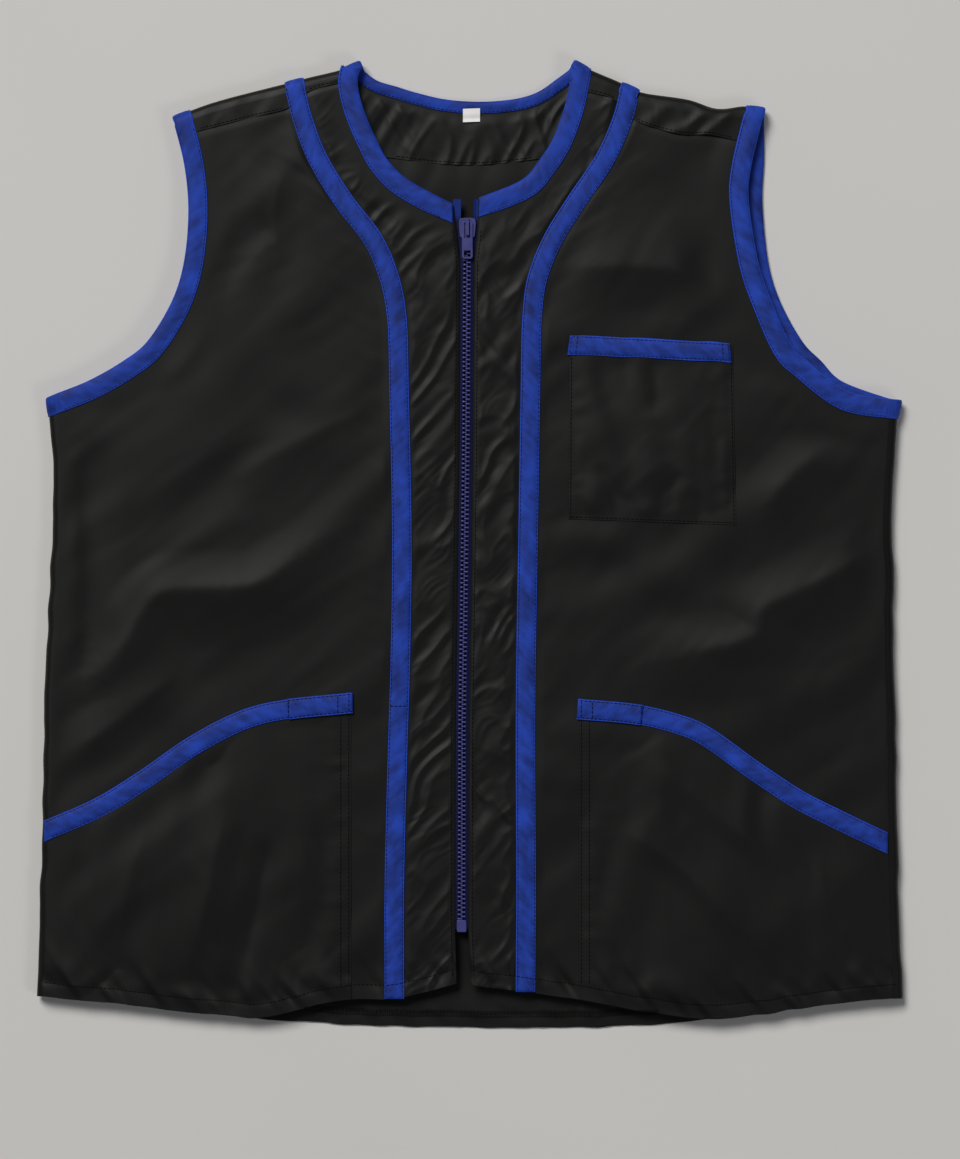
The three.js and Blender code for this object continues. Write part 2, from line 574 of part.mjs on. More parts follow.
function backPanel() {
  const wrapTop = (side, y) => onFront(foldX[side](y) - SIGN[side] * SEAM_FROM_FOLD[side], y);
  const lattice = list(BACK_ROWS + BACK_UPPER_ROWS + 1, (r) => {
    if (r <= BACK_ROWS) {
      const share = r / BACK_ROWS;
      const hemY = (side) => hemBackY(foldX[side](SIDE_FOLD[0].y));
      const sideY = (side) => lerp(hemY(side), UNDERARM_Y[side] - EDGE_INSET, share);
      const roll = bySide((side) => BACK_ROLL[side].map((angle) => {
        const y = sideY(side);
        const apex = vec(foldX[side](y), y, 0);
        return rolled(apex, vec(SIGN[side], 0, 0), backHeight(apex.x, y), angle).point;
      }));
      const flatEnd = (side) => foldX[side](sideY(side)) - SIGN[side] * foldRadius(side, sideY(side));
      const flat = steps(BACK_COLUMNS).map((u) => {
        const x = lerp(flatEnd('right'), flatEnd('left'), u);
        const straight = lerp(sideY('right'), sideY('left'), u);
        const bend = hemBackY(x) - lerp(hemBackY(flatEnd('right')), hemBackY(flatEnd('left')), u);
        return onBack(x, straight + bend * (1 - share) ** HEM_BEND_POWER);
      });
      return [...roll.right, ...flat, ...roll.left.toReversed(), wrapTop('left', sideY('left'))];
    }
    const share = (r - BACK_ROWS) / BACK_UPPER_ROWS;
    const ends = bySide((side) => {
      const t = armholeBackSeam[side] * share;
      return beside(armholeBack[side], t, ARMHOLE_CLOTH[side], EDGE_INSET);
    });
    const flat = steps(BACK_COLUMNS).map((u) => {
      const x = lerp(ends.right.x, ends.left.x, u);
      const straight = lerp(ends.right.y, ends.left.y, u);
      const bend = yokeSeamY(x) - lerp(yokeSeamY(ends.right.x), yokeSeamY(ends.left.x), u);
      return onBack(x, straight + bend * share ** HEM_BEND_POWER - (share === 1 ? SEAM_GAP : 0));
    });
    return [...BACK_ROLL.right.map(() => flat[0]), ...flat, ...[...BACK_ROLL.left, 0].map(() => flat.at(-1))];
  });
  const firstFlat = BACK_ROLL.right.length;
  return sheet(lattice, CLOTH, (r, c) => r < BACK_ROWS || (c >= firstFlat && c < firstFlat + BACK_COLUMNS));
}

// Yoke: a wing over each shoulder fold, joined below the back neckline
const YOKE_BACK_ROWS = 4;
const YOKE_FRONT_ROWS = 2;
const NECK_COLUMNS = 10;
const YOKE_NECK_X = { right: -72, left: 70 };

function wingColumn(side, i) {
  const { fold, seam, along, outward } = shoulders[side][i];
  const first = i === 0;
  const last = i === SHOULDER.length - 1;
  const inset = along.clone().multiplyScalar(first ? EDGE_INSET : last ? -EDGE_INSET : 0);
  const apex = fold.clone().add(inset);
  const roll = ROLL.map((angle) => rolled(apex, outward, EDGE_BACK_Z, angle).point);
  const armholeEnd = beside(armholeBack[side], armholeBackSeam[side], ARMHOLE_CLOTH[side], EDGE_INSET).x;
  const [armX, neckX] = [shoulders[side][0].fold.x, shoulders[side].at(-1).fold.x];
  const share = (fold.x - armX) / (neckX - armX);
  const seamX = lerp(armholeEnd, YOKE_NECK_X[side], share);
  const low = onBack(seamX, yokeSeamY(seamX));
  const back = steps(YOKE_BACK_ROWS).slice(0, -1).map((t) => {
    const point = low.clone().lerp(roll.at(-1), t);
    if (!first) return point;
    const place = lerp(armholeBackSeam[side], 1, t);
    const edge = beside(armholeBack[side], place, ARMHOLE_CLOTH[side], EDGE_INSET);
    return vec(edge.x, t > 0 ? edge.y : point.y, point.z);
  });
  const armholeSeam = beside(armholeFront[side], armholeFrontTop[side], ARMHOLE_CLOTH[side], EDGE_INSET);
  const neckSeam = beside(neckFront[side], neckFrontTop[side], NECK_CLOTH[side], EDGE_INSET);
  const seamPlace = first ? armholeSeam : last ? neckSeam : seam;
  const seamEnd = onFront(seamPlace.x, seamPlace.y);
  const front = steps(YOKE_FRONT_ROWS).slice(1).map((t) => roll[0].clone().lerp(seamEnd, t));
  return [...back, ...roll.toReversed(), ...front];
}

function backYoke() {
  const wings = bySide((side) => list(SHOULDER.length, (i) => wingColumn(side, i)));
  const middle = steps(NECK_COLUMNS).slice(1, -1).map((t) => {
    const edge = beside(neckBack, t, 1, EDGE_INSET);
    const x = lerp(YOKE_NECK_X.right, YOKE_NECK_X.left, t);
    const low = onBack(x, yokeSeamY(x));
    const high = vec(edge.x, edge.y, EDGE_BACK_Z);
    const column = steps(YOKE_BACK_ROWS).map((s) => low.clone().lerp(high, s));
    return list(wings.right[0].length, (r) => column[Math.min(r, YOKE_BACK_ROWS)]);
  });
  const columns = [...wings.right, ...middle, ...wings.left.toReversed()];
  const lattice = list(columns[0].length, (r) => columns.map((column) => column[r]));
  const neckStart = SHOULDER.length - 1;
  const neckEnd = neckStart + NECK_COLUMNS;
  return sheet(lattice, CLOTH, (r, c) => r < YOKE_BACK_ROWS || c < neckStart || c >= neckEnd);
}

// Armhole binding: up the front, over the shoulder, down the back and round the side fold
function armholeBinding(side) {
  const cloth = ARMHOLE_CLOTH[side];
  const front = armholeRows.slice(1).map(
    (t) => flatStation(armholeFront[side], t * armholeFrontTop[side], cloth, FRONT_Z, 1),
  );
  const { fold, along, outward } = shoulderAt(side, 'armhole');
  const over = ROLL.map((angle) => ({ ...rolled(fold, outward, EDGE_BACK_Z, angle), inward: along }));
  const back = [
    ...steps(BACK_UPPER_ROWS).slice(1).map((t) => t * armholeBackSeam[side]),
    ...steps(YOKE_BACK_ROWS).slice(1, -1).map((t) => lerp(armholeBackSeam[side], 1, t)),
  ].map((t) => flatStation(armholeBack[side], t, cloth, EDGE_BACK_Z, -1));
  const high = UNDERARM_Y[side];
  const low = high - TAPE_WIDTH;
  const apex = vec(foldX[side](high), high, 0);
  const downFold = vec(foldX[side](low), low, 0).sub(apex).normalize();
  const under = ROLL.map((angle) => ({
    ...rolled(apex, vec(SIGN[side], 0, 0), EDGE_BACK_Z, angle), inward: downFold,
  }));
  return binding([...front, ...over, ...back.toReversed(), ...under.toReversed()], ARMHOLE_INNER_LEG, true);
}

// Neck binding: up one front from the zip, over the shoulder, across the back and down the other front
function neckBinding() {
  const front = bySide((side) => {
    const stations = upperRows.map(
      (t) => flatStation(neckFront[side], t * neckFrontTop[side], NECK_CLOTH[side], FRONT_Z, 1),
    );
    stations[0].inward = vec(0, -1, 0);
    return stations;
  });
  const over = bySide((side) => {
    const { fold, along, outward } = shoulderAt(side, 'neck');
    const inward = along.clone().negate();
    return ROLL.map((angle) => ({ ...rolled(fold, outward, EDGE_BACK_Z, angle), inward }));
  });
  const back = steps(NECK_COLUMNS).slice(1, -1).map((t) => flatStation(neckBack, t, 1, EDGE_BACK_Z, -1));
  return binding(
    [...front.right, ...over.right, ...back, ...over.left.toReversed(), ...front.left.toReversed()],
    NECK_INNER_LEG,
    false,
  );
}

// Stripe: from the hem up the seam, over the shoulder fold and down to the yoke seam
const STRIPE_ROWS = 26;
const STRIPE_STEP = 2;
const STRIPE_BACK_SHIFT = 8;

function frontStripe(side) {
  const lineX = stripeX[side];
  const outer = shoulderAt(side, 'stripeOut');
  const inner = shoulderAt(side, 'stripeIn');
  const middle = outer.fold.clone().add(inner.fold).multiplyScalar(0.5);
  const along = inner.fold.clone().sub(outer.fold).normalize();
  const outward = vec(along.y, -along.x, 0).multiplyScalar(SIGN[side]);
  const radius = (FRONT_Z - EDGE_BACK_Z) / 2;
  const foldStart = middle.clone().addScaledVector(outward, -radius);
  const bottom = hemFrontY[side](lineX(STRIPE[0].y));
  const shares = [-STRIPE_HALF, STRIPE_HALF];
  const front = steps(STRIPE_ROWS).slice(0, -1).map((t) => {
    const y = lerp(bottom, foldStart.y, t);
    const tangent = vec(lineX(y + STRIPE_STEP) - lineX(y - STRIPE_STEP), 2 * STRIPE_STEP, 0).normalize();
    const across = vec(tangent.y, -tangent.x, 0).multiplyScalar(-SIGN[side]);
    return shares.map((share) => {
      const place = vec(lineX(y), y, 0).addScaledVector(across, share);
      const foot = t === 0 ? hemFrontY[side](place.x) : place.y;
      return onFront(place.x, foot, LAYER);
    });
  });
  const over = ROLL.map((angle) => shares.map((share) => {
    const apex = middle.clone().addScaledVector(along, share);
    return rolled(apex, outward, EDGE_BACK_Z, angle, LAYER).point;
  }));
  const endX = middle.x - SIGN[side] * STRIPE_BACK_SHIFT;
  const end = shares.map((share) => {
    const x = endX + along.x * share;
    return vec(x, yokeSeamY(x), EDGE_BACK_Z - LAYER);
  });
  return sheet([...front, ...over, end]);
}

// Pockets

const POCKET_ROWS = 6;
const POCKET_COLUMNS = 9;
const POCKET_TAPE_STEPS = 12;
const pocketOuterX = (side, y) => foldX[side](y) - SIGN[side] * POCKET_OUTER_FROM_FOLD[side];

function lowerPocket(side) {
  const columns = steps(POCKET_COLUMNS).map((u) => {
    const topX = lerp(pocketOuterX(side, mouthY[side](foldX[side](POCKET_SIDE_Y))), POCKET_INNER[side], u);
    const lowX = lerp(pocketOuterX(side, SIDE_FOLD[0].y), POCKET_INNER[side], u);
    const top = mouthY[side](topX) - GAP;
    const flatFrom = top - POCKET_MOUTH_FLAT;
    const bottom = hemFrontY[side](lowX) + GAP;
    const slackAcross = Math.sin(Math.PI * u);
    const body = steps(POCKET_ROWS).map((v) => {
      const y = lerp(bottom, flatFrom, v);
      const x = lerp(lowX, topX, (y - bottom) / (top - bottom));
      const fullness = POCKET_SLACK + foldHeight(POCKET_FOLDS, x, y);
      return onFront(x, y, LAYER + slackAcross * Math.sin(Math.PI * v) * fullness);
    });
    return [...body, onFront(topX, top, LAYER)];
  });
  return sheet(list(columns[0].length, (r) => columns.map((column) => column[r])));
}

// Stations of a pocket mouth, each with the way the tape lies below it
function mouthLine(side, from, to, count) {
  return steps(count).map((t) => {
    const x = lerp(from, to, t);
    const slope = (mouthY[side](x + 1) - mouthY[side](x - 1)) / 2;
    const down = new THREE.Vector2(slope, -1).normalize();
    return { x, y: mouthY[side](x), down };
  });
}

function lowerPocketTape(side) {
  const outer = pocketOuterX(side, mouthY[side](foldX[side](POCKET_SIDE_Y)));
  const stations = mouthLine(side, outer, POCKET_INNER[side], POCKET_TAPE_STEPS);
  return sheet(stations.map(({ x, y, down }, i) => [0, TAPE_WIDTH].map((width) => {
    const end = i === 0 || i === stations.length - 1;
    return onFront(x + (end ? 0 : down.x * width), y + (end ? -width : down.y * width), 2 * LAYER);
  })));
}

function lowerPocketTab(side) {
  const inner = POCKET_INNER[side];
  const stations = mouthLine(side, inner + SIGN[side] * TAB_LENGTH, inner, 2);
  const lap = (TAB_WIDTH - TAPE_WIDTH) / 2;
  const edges = [lap, lap - TAB_WIDTH];
  return sheet(stations.map(({ x, y }) => edges.map((lift) => onFront(x, y + lift, 3 * LAYER))));
}

function fourCorners({ topRight, topLeft, lowLeft, lowRight }, u, v) {
  const at = (i) => lerp(lerp(lowRight[i], lowLeft[i], u), lerp(topRight[i], topLeft[i], u), v);
  return [at(0), at(1)];
}

const CHEST_FLAT_FROM = 0.88;
const CHEST_POCKET_ROWS = [0, 0.18, 0.36, 0.54, 0.72, CHEST_FLAT_FROM, 1];
const CHEST_POCKET_COLUMNS = 6;

function chestPocket() {
  return sheet(CHEST_POCKET_ROWS.map((v) => steps(CHEST_POCKET_COLUMNS).map((u) => {
    const up = Math.min(v / CHEST_FLAT_FROM, 1);
    const slack = Math.sin(Math.PI * up) * Math.sin(Math.PI * u);
    return onFront(...fourCorners(CHEST_POCKET, u, v), LAYER + CHEST_SLACK * slack);
  })));
}

function chestPocketTape() {
  const place = (u, v) => onFront(...fourCorners(CHEST_TAPE, u, v), 2 * LAYER);
  return sheet([0, 1].map((v) => steps(CHEST_POCKET_COLUMNS).map((u) => place(u, v))));
}

// Zip

const zipLevels = (low, high) => [low, ...[...FRONT_EDGE, ...TEETH_SPREAD].map((row) => row.y), high]
  .filter((y) => y >= low && y <= high)
  .sort((a, b) => a - b)
  .filter((y, i, all) => i === 0 || y - all[i - 1] > 1);

// Strip beside the zip line, at distances from it that may change along it
function zipStrip(side, levels, from, to, thickness) {
  return sheet(levels.map((y) => [from(y), to(y)].map(
    (distance) => vec(zipX(y) + SIGN[side] * (distance + teethApart(y)), y, ZIP_MIDDLE_Z),
  )), thickness);
}

function zipTeeth(side) {
  const levels = zipLevels(BOX_TOP + GAP, TEETH_TOP);
  return zipStrip(side, levels, () => TEETH_INNER, () => TEETH_OUTER, TEETH_THICK);
}

// Above the slider each tape narrows to end beside the neck binding
const TAPE_FULL_TO = 212;
const TAPE_NARROW_FROM = 214.6;

function zipTape(side) {
  const neckEnd = neckFront[side].getPoint(0).x;
  const narrow = (y) => Math.abs(neckEnd - zipX(y)) - teethApart(y) - GAP;
  const outer = (y) => (y <= TAPE_FULL_TO ? ZIP_TAPE_OUTER : narrow(y));
  const levels = [...zipLevels(ZIP_BOTTOM, TAPE_FULL_TO), TAPE_NARROW_FROM, ZIP_TOP];
  return zipStrip(side, levels, () => ZIP_TAPE_INNER, outer, CLOTH);
}

const wasm = await Module();
wasm.setup();

function toManifold(geometry) {
  const bare = geometry.clone();
  bare.deleteAttribute('normal');
  bare.deleteAttribute('uv');
  const merged = mergeVertices(bare);
  return new wasm.Manifold(new wasm.Mesh({
    numProp: 3,
    vertProperties: new Float32Array(merged.attributes.position.array),
    triVerts: new Uint32Array(merged.index.array),
  }));
}

function fused(geometries) {
  const mesh = geometries.map(toManifold).reduce((all, next) => all.add(next)).getMesh();
  const geometry = new THREE.BufferGeometry();
  geometry.setAttribute('position', new THREE.Float32BufferAttribute(mesh.vertProperties, 3));
  geometry.setIndex([...mesh.triVerts]);
  geometry.computeVertexNormals();
  return geometry;
}

// Plate of an outline in plan, from one height to another
function plate(points, low, high, holes = []) {
  const shape = new THREE.Shape(points.map(([x, y]) => new THREE.Vector2(x, y)));
  shape.holes = holes.map((hole) => new THREE.Path(hole.map(([x, y]) => new THREE.Vector2(x, y))));
  const geometry = new THREE.ExtrudeGeometry(shape, { depth: high - low, bevelEnabled: false });
  return geometry.translate(0, 0, low);
}

const block = (x0, x1, y0, y1) => [[x0, y0], [x1, y0], [x1, y1], [x0, y1]];
const bothHalves = (points) => [...points, ...points.toReversed().map(([x, y]) => [-x, y])];
const cutCorners = (half, low, high, corner) => bothHalves([
  [half - corner, low], [half, low + corner], [half, high - corner], [half - corner, high],
]);

const SLIDER_X = zipX((SLIDER_BOTTOM + SLIDER_TOP) / 2);
const CHANNEL_LOW = ZIP_MIDDLE_Z - SLIDER_CHANNEL / 2;
const CHANNEL_HIGH = ZIP_MIDDLE_Z + SLIDER_CHANNEL / 2;
const PLATE_TOP = CHANNEL_HIGH + SLIDER_PLATE;
const BRIDGE_UNDER = PLATE_TOP + BRIDGE_CLEAR;
const PIVOT_Z = PLATE_TOP + BRIDGE_CLEAR / 2;
const JOIN = 0.2;

function zipSlider() {
  const rightHalf = [
    [SLIDER_HALF_LOW - SLIDER_CORNER, SLIDER_BOTTOM],
    [SLIDER_HALF_LOW, SLIDER_BOTTOM + SLIDER_CORNER],
    [SLIDER_HALF_HIGH, SLIDER_TOP - SLIDER_SHOULDER],
    [SLIDER_HALF_HIGH - SLIDER_CORNER / 2, SLIDER_TOP - SLIDER_CORNER / 2],
    [WEDGE_HALF + SLIDER_CORNER, SLIDER_TOP],
  ];
  const outlinePoints = bothHalves(rightHalf);
  const wedge = [[0, WEDGE_BOTTOM], ...bothHalves([
    [WEDGE_HALF, SLIDER_TOP - WEDGE_TAIL], [WEDGE_HALF, SLIDER_TOP - JOIN],
  ])];
  const flanges = [-1, 1].flatMap((hand) => {
    const [x0, x1] = [hand * (SLIDER_HALF_LOW - SLIDER_FLANGE), hand * SLIDER_HALF_LOW].sort((a, b) => a - b);
    const foot = block(x0, x1, SLIDER_BOTTOM + SLIDER_CORNER, SLIDER_FLANGE_TOP);
    return [
      plate(foot, CHANNEL_HIGH - SLIDER_FLANGE, CHANNEL_HIGH + JOIN),
      plate(foot, CHANNEL_LOW - JOIN, CHANNEL_LOW + SLIDER_FLANGE),
    ];
  });
  const bridgeBlock = (low, high) => block(-BRIDGE_HALF, BRIDGE_HALF, low, high);
  const bridgeFoot = (low, high) => plate(bridgeBlock(low, high), PLATE_TOP - JOIN, BRIDGE_UNDER + JOIN);
  const geometry = fused([
    plate(outlinePoints, CHANNEL_HIGH, PLATE_TOP),
    plate(outlinePoints, CHANNEL_LOW - SLIDER_PLATE, CHANNEL_LOW),
    plate(wedge, CHANNEL_LOW - JOIN, CHANNEL_HIGH + JOIN),
    ...flanges,
    bridgeFoot(BRIDGE_BOTTOM, BRIDGE_BOTTOM + BRIDGE_WALL),
    bridgeFoot(BRIDGE_TOP - BRIDGE_WALL, BRIDGE_TOP),
    plate(bridgeBlock(BRIDGE_BOTTOM, BRIDGE_TOP), BRIDGE_UNDER, BRIDGE_UNDER + BRIDGE_WALL),
  ]);
  return geometry.translate(SLIDER_X, 0, 0);
}

function zipPull() {
  const outlinePoints = cutCorners(PULL_HALF, PULL_END, PULL_PIVOT_Y + PULL_BAR_HALF, PULL_CORNER);
  const slot = block(-PULL_SLOT_HALF, PULL_SLOT_HALF, PULL_SLOT_END, PULL_PIVOT_Y - PULL_BAR_HALF);
  const { low, high, half } = PULL_WINDOW;
  const window = block(-half, half, low, high);
  const [under, over] = [PIVOT_Z - PULL_THICK / 2, PIVOT_Z + PULL_THICK / 2];
  return fused([plate(outlinePoints, under, over, [slot, window])]).translate(SLIDER_X, 0, 0);
}

function zipBox() {
  const low = ZIP_MIDDLE_Z - BOX_THICK / 2;
  const high = ZIP_MIDDLE_Z + BOX_THICK / 2;
  const foot = cutCorners(BOX_HALF, BOX_BOTTOM, BOX_TOP, BOX_CORNER);
  return plate(foot, low, high).translate(zipX(BOX_TOP), 0, 0);
}

function sizeLabel() {
  const overTape = EDGE_BACK_Z + BINDING_OUTSIDE + GAP + CLOTH / 2;
  const onYoke = EDGE_BACK_Z + LAYER + GAP;
  const levels = [[0, overTape], [LABEL.bendAt, overTape], [1, onYoke]];
  const turn = Math.tan(degToRad(LABEL.tilt));
  return sheet(levels.map(([down, z]) => [-0.5, 0.5].map((share) => {
    const x = LABEL.x + share * LABEL.width;
    return vec(x, LABEL.top - down * LABEL.length + (x - LABEL.x) * turn, z);
  })));
}

// The vest

const vest = new THREE.Group();
vest.name = 'barber_vest';

function add(name, geometry, finish) {
  const mesh = new THREE.Mesh(geometry, new THREE.MeshStandardMaterial(COLOURS[finish]));
  mesh.name = name;
  vest.add(mesh);
}

add('back_panel', backPanel(), 'cloth');
add('back_yoke', backYoke(), 'cloth');
add('neck_binding', neckBinding(), 'tape');
add('chest_pocket', chestPocket(), 'cloth');
add('chest_pocket_tape', chestPocketTape(), 'tape');
add('zip_slider', zipSlider(), 'zip');
add('zip_pull', zipPull(), 'zip');
add('zip_box', zipBox(), 'zip');
add('size_label', sizeLabel(), 'label');
for (const side of SIDES) {
  add(`front_side_${side}`, frontSide(side), 'cloth');
  add(`front_centre_${side}`, frontCentre(side), 'cloth');
  add(`front_stripe_${side}`, frontStripe(side), 'tape');
  add(`armhole_binding_${side}`, armholeBinding(side), 'tape');
  add(`lower_pocket_${side}`, lowerPocket(side), 'cloth');
  add(`lower_pocket_tape_${side}`, lowerPocketTape(side), 'tape');
  add(`lower_pocket_tab_${side}`, lowerPocketTab(side), 'tape');
  add(`zip_tape_${side}`, zipTape(side), 'zipTape');
  add(`zip_teeth_${side}`, zipTeeth(side), 'zip');
}

export default vest;
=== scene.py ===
"""Zip-front work vest lying flat on its back: cloth, tape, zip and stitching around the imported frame."""

import json
import math
from collections import namedtuple

import bmesh
import bpy
import numpy as np
from bpy.props import FloatProperty, FloatVectorProperty, PointerProperty
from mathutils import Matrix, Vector
from mathutils.bvhtree import BVHTree

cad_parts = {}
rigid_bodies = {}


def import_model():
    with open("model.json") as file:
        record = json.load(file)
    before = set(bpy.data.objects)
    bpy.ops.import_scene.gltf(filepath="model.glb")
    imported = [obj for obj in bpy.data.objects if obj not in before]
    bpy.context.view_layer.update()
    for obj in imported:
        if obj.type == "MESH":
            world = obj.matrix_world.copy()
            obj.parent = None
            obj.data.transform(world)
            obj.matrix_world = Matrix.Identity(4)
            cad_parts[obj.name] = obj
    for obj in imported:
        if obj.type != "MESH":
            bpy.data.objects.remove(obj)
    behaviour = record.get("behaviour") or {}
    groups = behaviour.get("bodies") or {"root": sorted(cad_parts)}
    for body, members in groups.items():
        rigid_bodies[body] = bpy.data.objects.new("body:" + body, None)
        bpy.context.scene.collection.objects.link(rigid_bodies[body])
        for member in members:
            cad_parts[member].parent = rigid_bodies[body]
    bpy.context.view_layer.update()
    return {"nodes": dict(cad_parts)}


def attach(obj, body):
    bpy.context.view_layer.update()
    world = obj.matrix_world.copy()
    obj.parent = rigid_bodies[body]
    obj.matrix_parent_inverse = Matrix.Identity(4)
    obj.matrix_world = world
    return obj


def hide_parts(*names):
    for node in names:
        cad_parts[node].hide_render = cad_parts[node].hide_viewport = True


bl_info = {
    "name": "Barber vest",
    "version": (1, 0, 0),
    "blender": (4, 5, 0),
    "location": "3D View > Sidebar > Vest",
    "description": "Builds a zip-front work vest with bound edges, stripes and pockets",
    "category": "Add Mesh",
}

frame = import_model()

# Sizes are in millimetres, +Y from hem to neck, and sides are the wearer's: right at -X, left at +X
MM = 0.001
SIDES = ("right", "left")
SIGN = {"right": -1, "left": 1}

# Heights of the middle of the cloth: the front, and the back where it rests or is lifted by its tape
FRONT_Z = 10.8
BACK_Z = 0.5
BACK_LIFT = 1.3
EDGE_BACK_Z = BACK_Z + BACK_LIFT

# Where pieces lap: steps in height, the inset of cloth in its binding, and the lap of a seam
LAYER = 1.3
PROUD = 0.35
FRONT_UNDER_YOKE = 0.6
BACK_UNDER_YOKE = 0.3
EDGE_INSET = 1.5
SEAM_LAP = 2.0

# Tape, and the painted highlights along its folded edges, their places and width measured round its section
TAPE_WIDTH = 13.0
TAPE_EDGE_HIGHLIGHTS = (1.25, 13.8)
TAPE_EDGE_HIGHLIGHT_WIDTH = 0.65
NECK_INNER_LEG = 8.0
ARMHOLE_INNER_LEG = 12.0

# Hems: the turned-up band, the line drawn in by its stitching, and the puckers along it
HEM_DEPTH = 9.5
HEM_BAND_RISE = 0.05
HEM_BAND_FADE = 3.0
HEM_DRAWN_IN = 0.07
HEM_DRAWN_WIDTH = 1.6
PUCKER_HEIGHT = 1.6
PUCKER_SPACING = 7.0
PUCKER_SLANT = 0.7
Puckers = namedtuple("Puckers", "length reach seed")
FRONT_PUCKERS = Puckers(22, 10, 31)
BACK_PUCKERS = Puckers(20, 9, 35)

# Small waves of the sewn edges
Waves = namedtuple("Waves", "height spacing seed")
FOLD_WAVES = {"right": Waves(0.6, 14, 100), "left": Waves(0.6, 14, 102)}
HEM_WAVES = {"right": Waves(0.55, 11, 104), "left": Waves(0.55, 11, 106)}
BACK_HEM_WAVES = Waves(0.5, 12, 109)

# Side seams: on the right the seam is at the fold, on the left the back wraps over it
UNDERARM_Y = {"right": 97.0, "left": 95.5}
WRAP = {"right": 0.0, "left": 6.5}
WRAP_TUCK = 1.2

# Widths over which folds and the lift of the back fade
LIFT_FULL = 45.0
LIFT_NONE = 90.0
YOKE_LIFT_START = 200.0
YOKE_LIFT_END = 238.0
CALM_BY_EDGE = 30.0
CALM_BY_STRIPE = 8.0
CALM_BY_ZIP = 12.0
CALM_FADE = 26.0

# Distances from an edge over which its small creases grow
GROW_FROM_BINDING = (13, 30)
GROW_FROM_SIDE = (3, 16)
GROW_FROM_SEAM = (0, 4)
ZIP_EDGE = 1.0

# Yoke seam across the back: lowest at the middle, rising to the armholes
YOKE_SEAM_LOW = 250.0
YOKE_SEAM_RISE = 8.0
YOKE_SEAM_SPREAD = 55.0

# Zip
ZIP_Z = FRONT_Z - LAYER
ZIP_BOTTOM = -256.0
ZIP_TOP = 227.0
TEETH_LOW = -245.7
TEETH_HIGH = 213.0
ZIP_TAPE_INNER = 2.2
ZIP_TAPE_OUTER = 13.5
ZIP_TAPE_FULL_TO = 212.0
ZIP_TAPE_END_FADE = 5.0

# Outline of each side fold, and the line of the seam under each stripe
SIDE_FOLD = {
    "y": (-297, -206, -128, -65, -20, 30, 60, 96),
    "right": (-284, -280.8, -279.2, -277.2, -275, -272.6, -273.5, -276.9),
    "left": (284.7, 281.5, 280.4, 278.8, 278.5, 277.6, 279.2, 283),
}
STRIPE = {
    "y": (-297, -220, -128, -75, 3, 108, 148, 174, 200, 226, 253, 279, 305),
    "right": (-49, -48.9, -46.6, -45, -44, -46, -47.2, -51.9, -62.7, -82.4, -98.9, -109, -115.4),
    "left": (37, 37.4, 37, 37.4, 38.7, 40.4, 41.3, 44.6, 54.8, 70.9, 89, 100.5, 107.2),
}

# Zip line, the two front edges beside it, and how far the teeth stand apart in the slider
FRONT_EDGE = {
    "y": (-290, -254, -120, -36, 69, 186, 200, 214, 226),
    "zip": (-4.9, -4.9, -4.6, -3.3, -2, -1.3, -1.2, -1.1, -1),
    "right": (-8.2, -9.2, -9.1, -7.8, -6.5, -5.8, -7.4, -9, -10.6),
    "left": (1.2, -0.4, -0.1, 1.2, 2.5, 3.2, 5, 6, 6.3),
}
TEETH_SPREAD = {"y": (-256, 203.5, 212, 227), "apart": (0, 0, 1.4, 1.4)}

# Free edges as (x, y): each armhole from the side fold up to the shoulder, front and back
ARMHOLE_FRONT = {
    "right": ((-272.4, 99), (-249.3, 108.2), (-226.3, 121.4), (-210.6, 134.5), (-194.8, 160.7),
              (-187, 187), (-184.3, 219.8), (-187, 249.3), (-193.6, 276)),
    "left": ((278.5, 95.8), (248.6, 100.9), (222, 120.7), (211, 132), (198, 161.4), (189.6, 187),
             (183.7, 226), (185.2, 248), (193.2, 281.5)),
}
ARMHOLE_BACK = {
    "right": ((-272.4, 99), (-247, 109.5), (-223, 124), (-207, 139), (-192.5, 165), (-185, 190),
              (-182.5, 220), (-186, 249.3), (-193.6, 276)),
    "left": ((278.5, 95.8), (246, 107.6), (231.6, 121.4), (219.1, 134.5), (204.7, 160.7),
             (196.8, 187), (193, 226), (194.2, 255), (194.2, 281.5)),
}

# Neckline as (x, y): each front from the zip up to the shoulder, and the back across
NECK_FRONT = {
    "right": ((-10.8, 224), (-39.4, 239.4), (-53.1, 252.6), (-60.4, 265.7), (-66.3, 278.8),
              (-70.8, 291.9), (-73, 304), (-70.8, 312.6)),
    "left": ((6.4, 228), (34.1, 239.4), (45.9, 252.6), (54.4, 265.7), (59.7, 278.8), (63.6, 291.9),
             (66.3, 305), (67.5, 313.3)),
}
NECK_BACK = (
    (-69.6, 312.7), (-60.4, 305.7), (-47.2, 301.6), (-34.8, 297.8), (-17, 293.6), (2, 291.9),
    (19.7, 292.4), (34.8, 294.6), (46.6, 299), (58, 307), (66.5, 313.3),
)

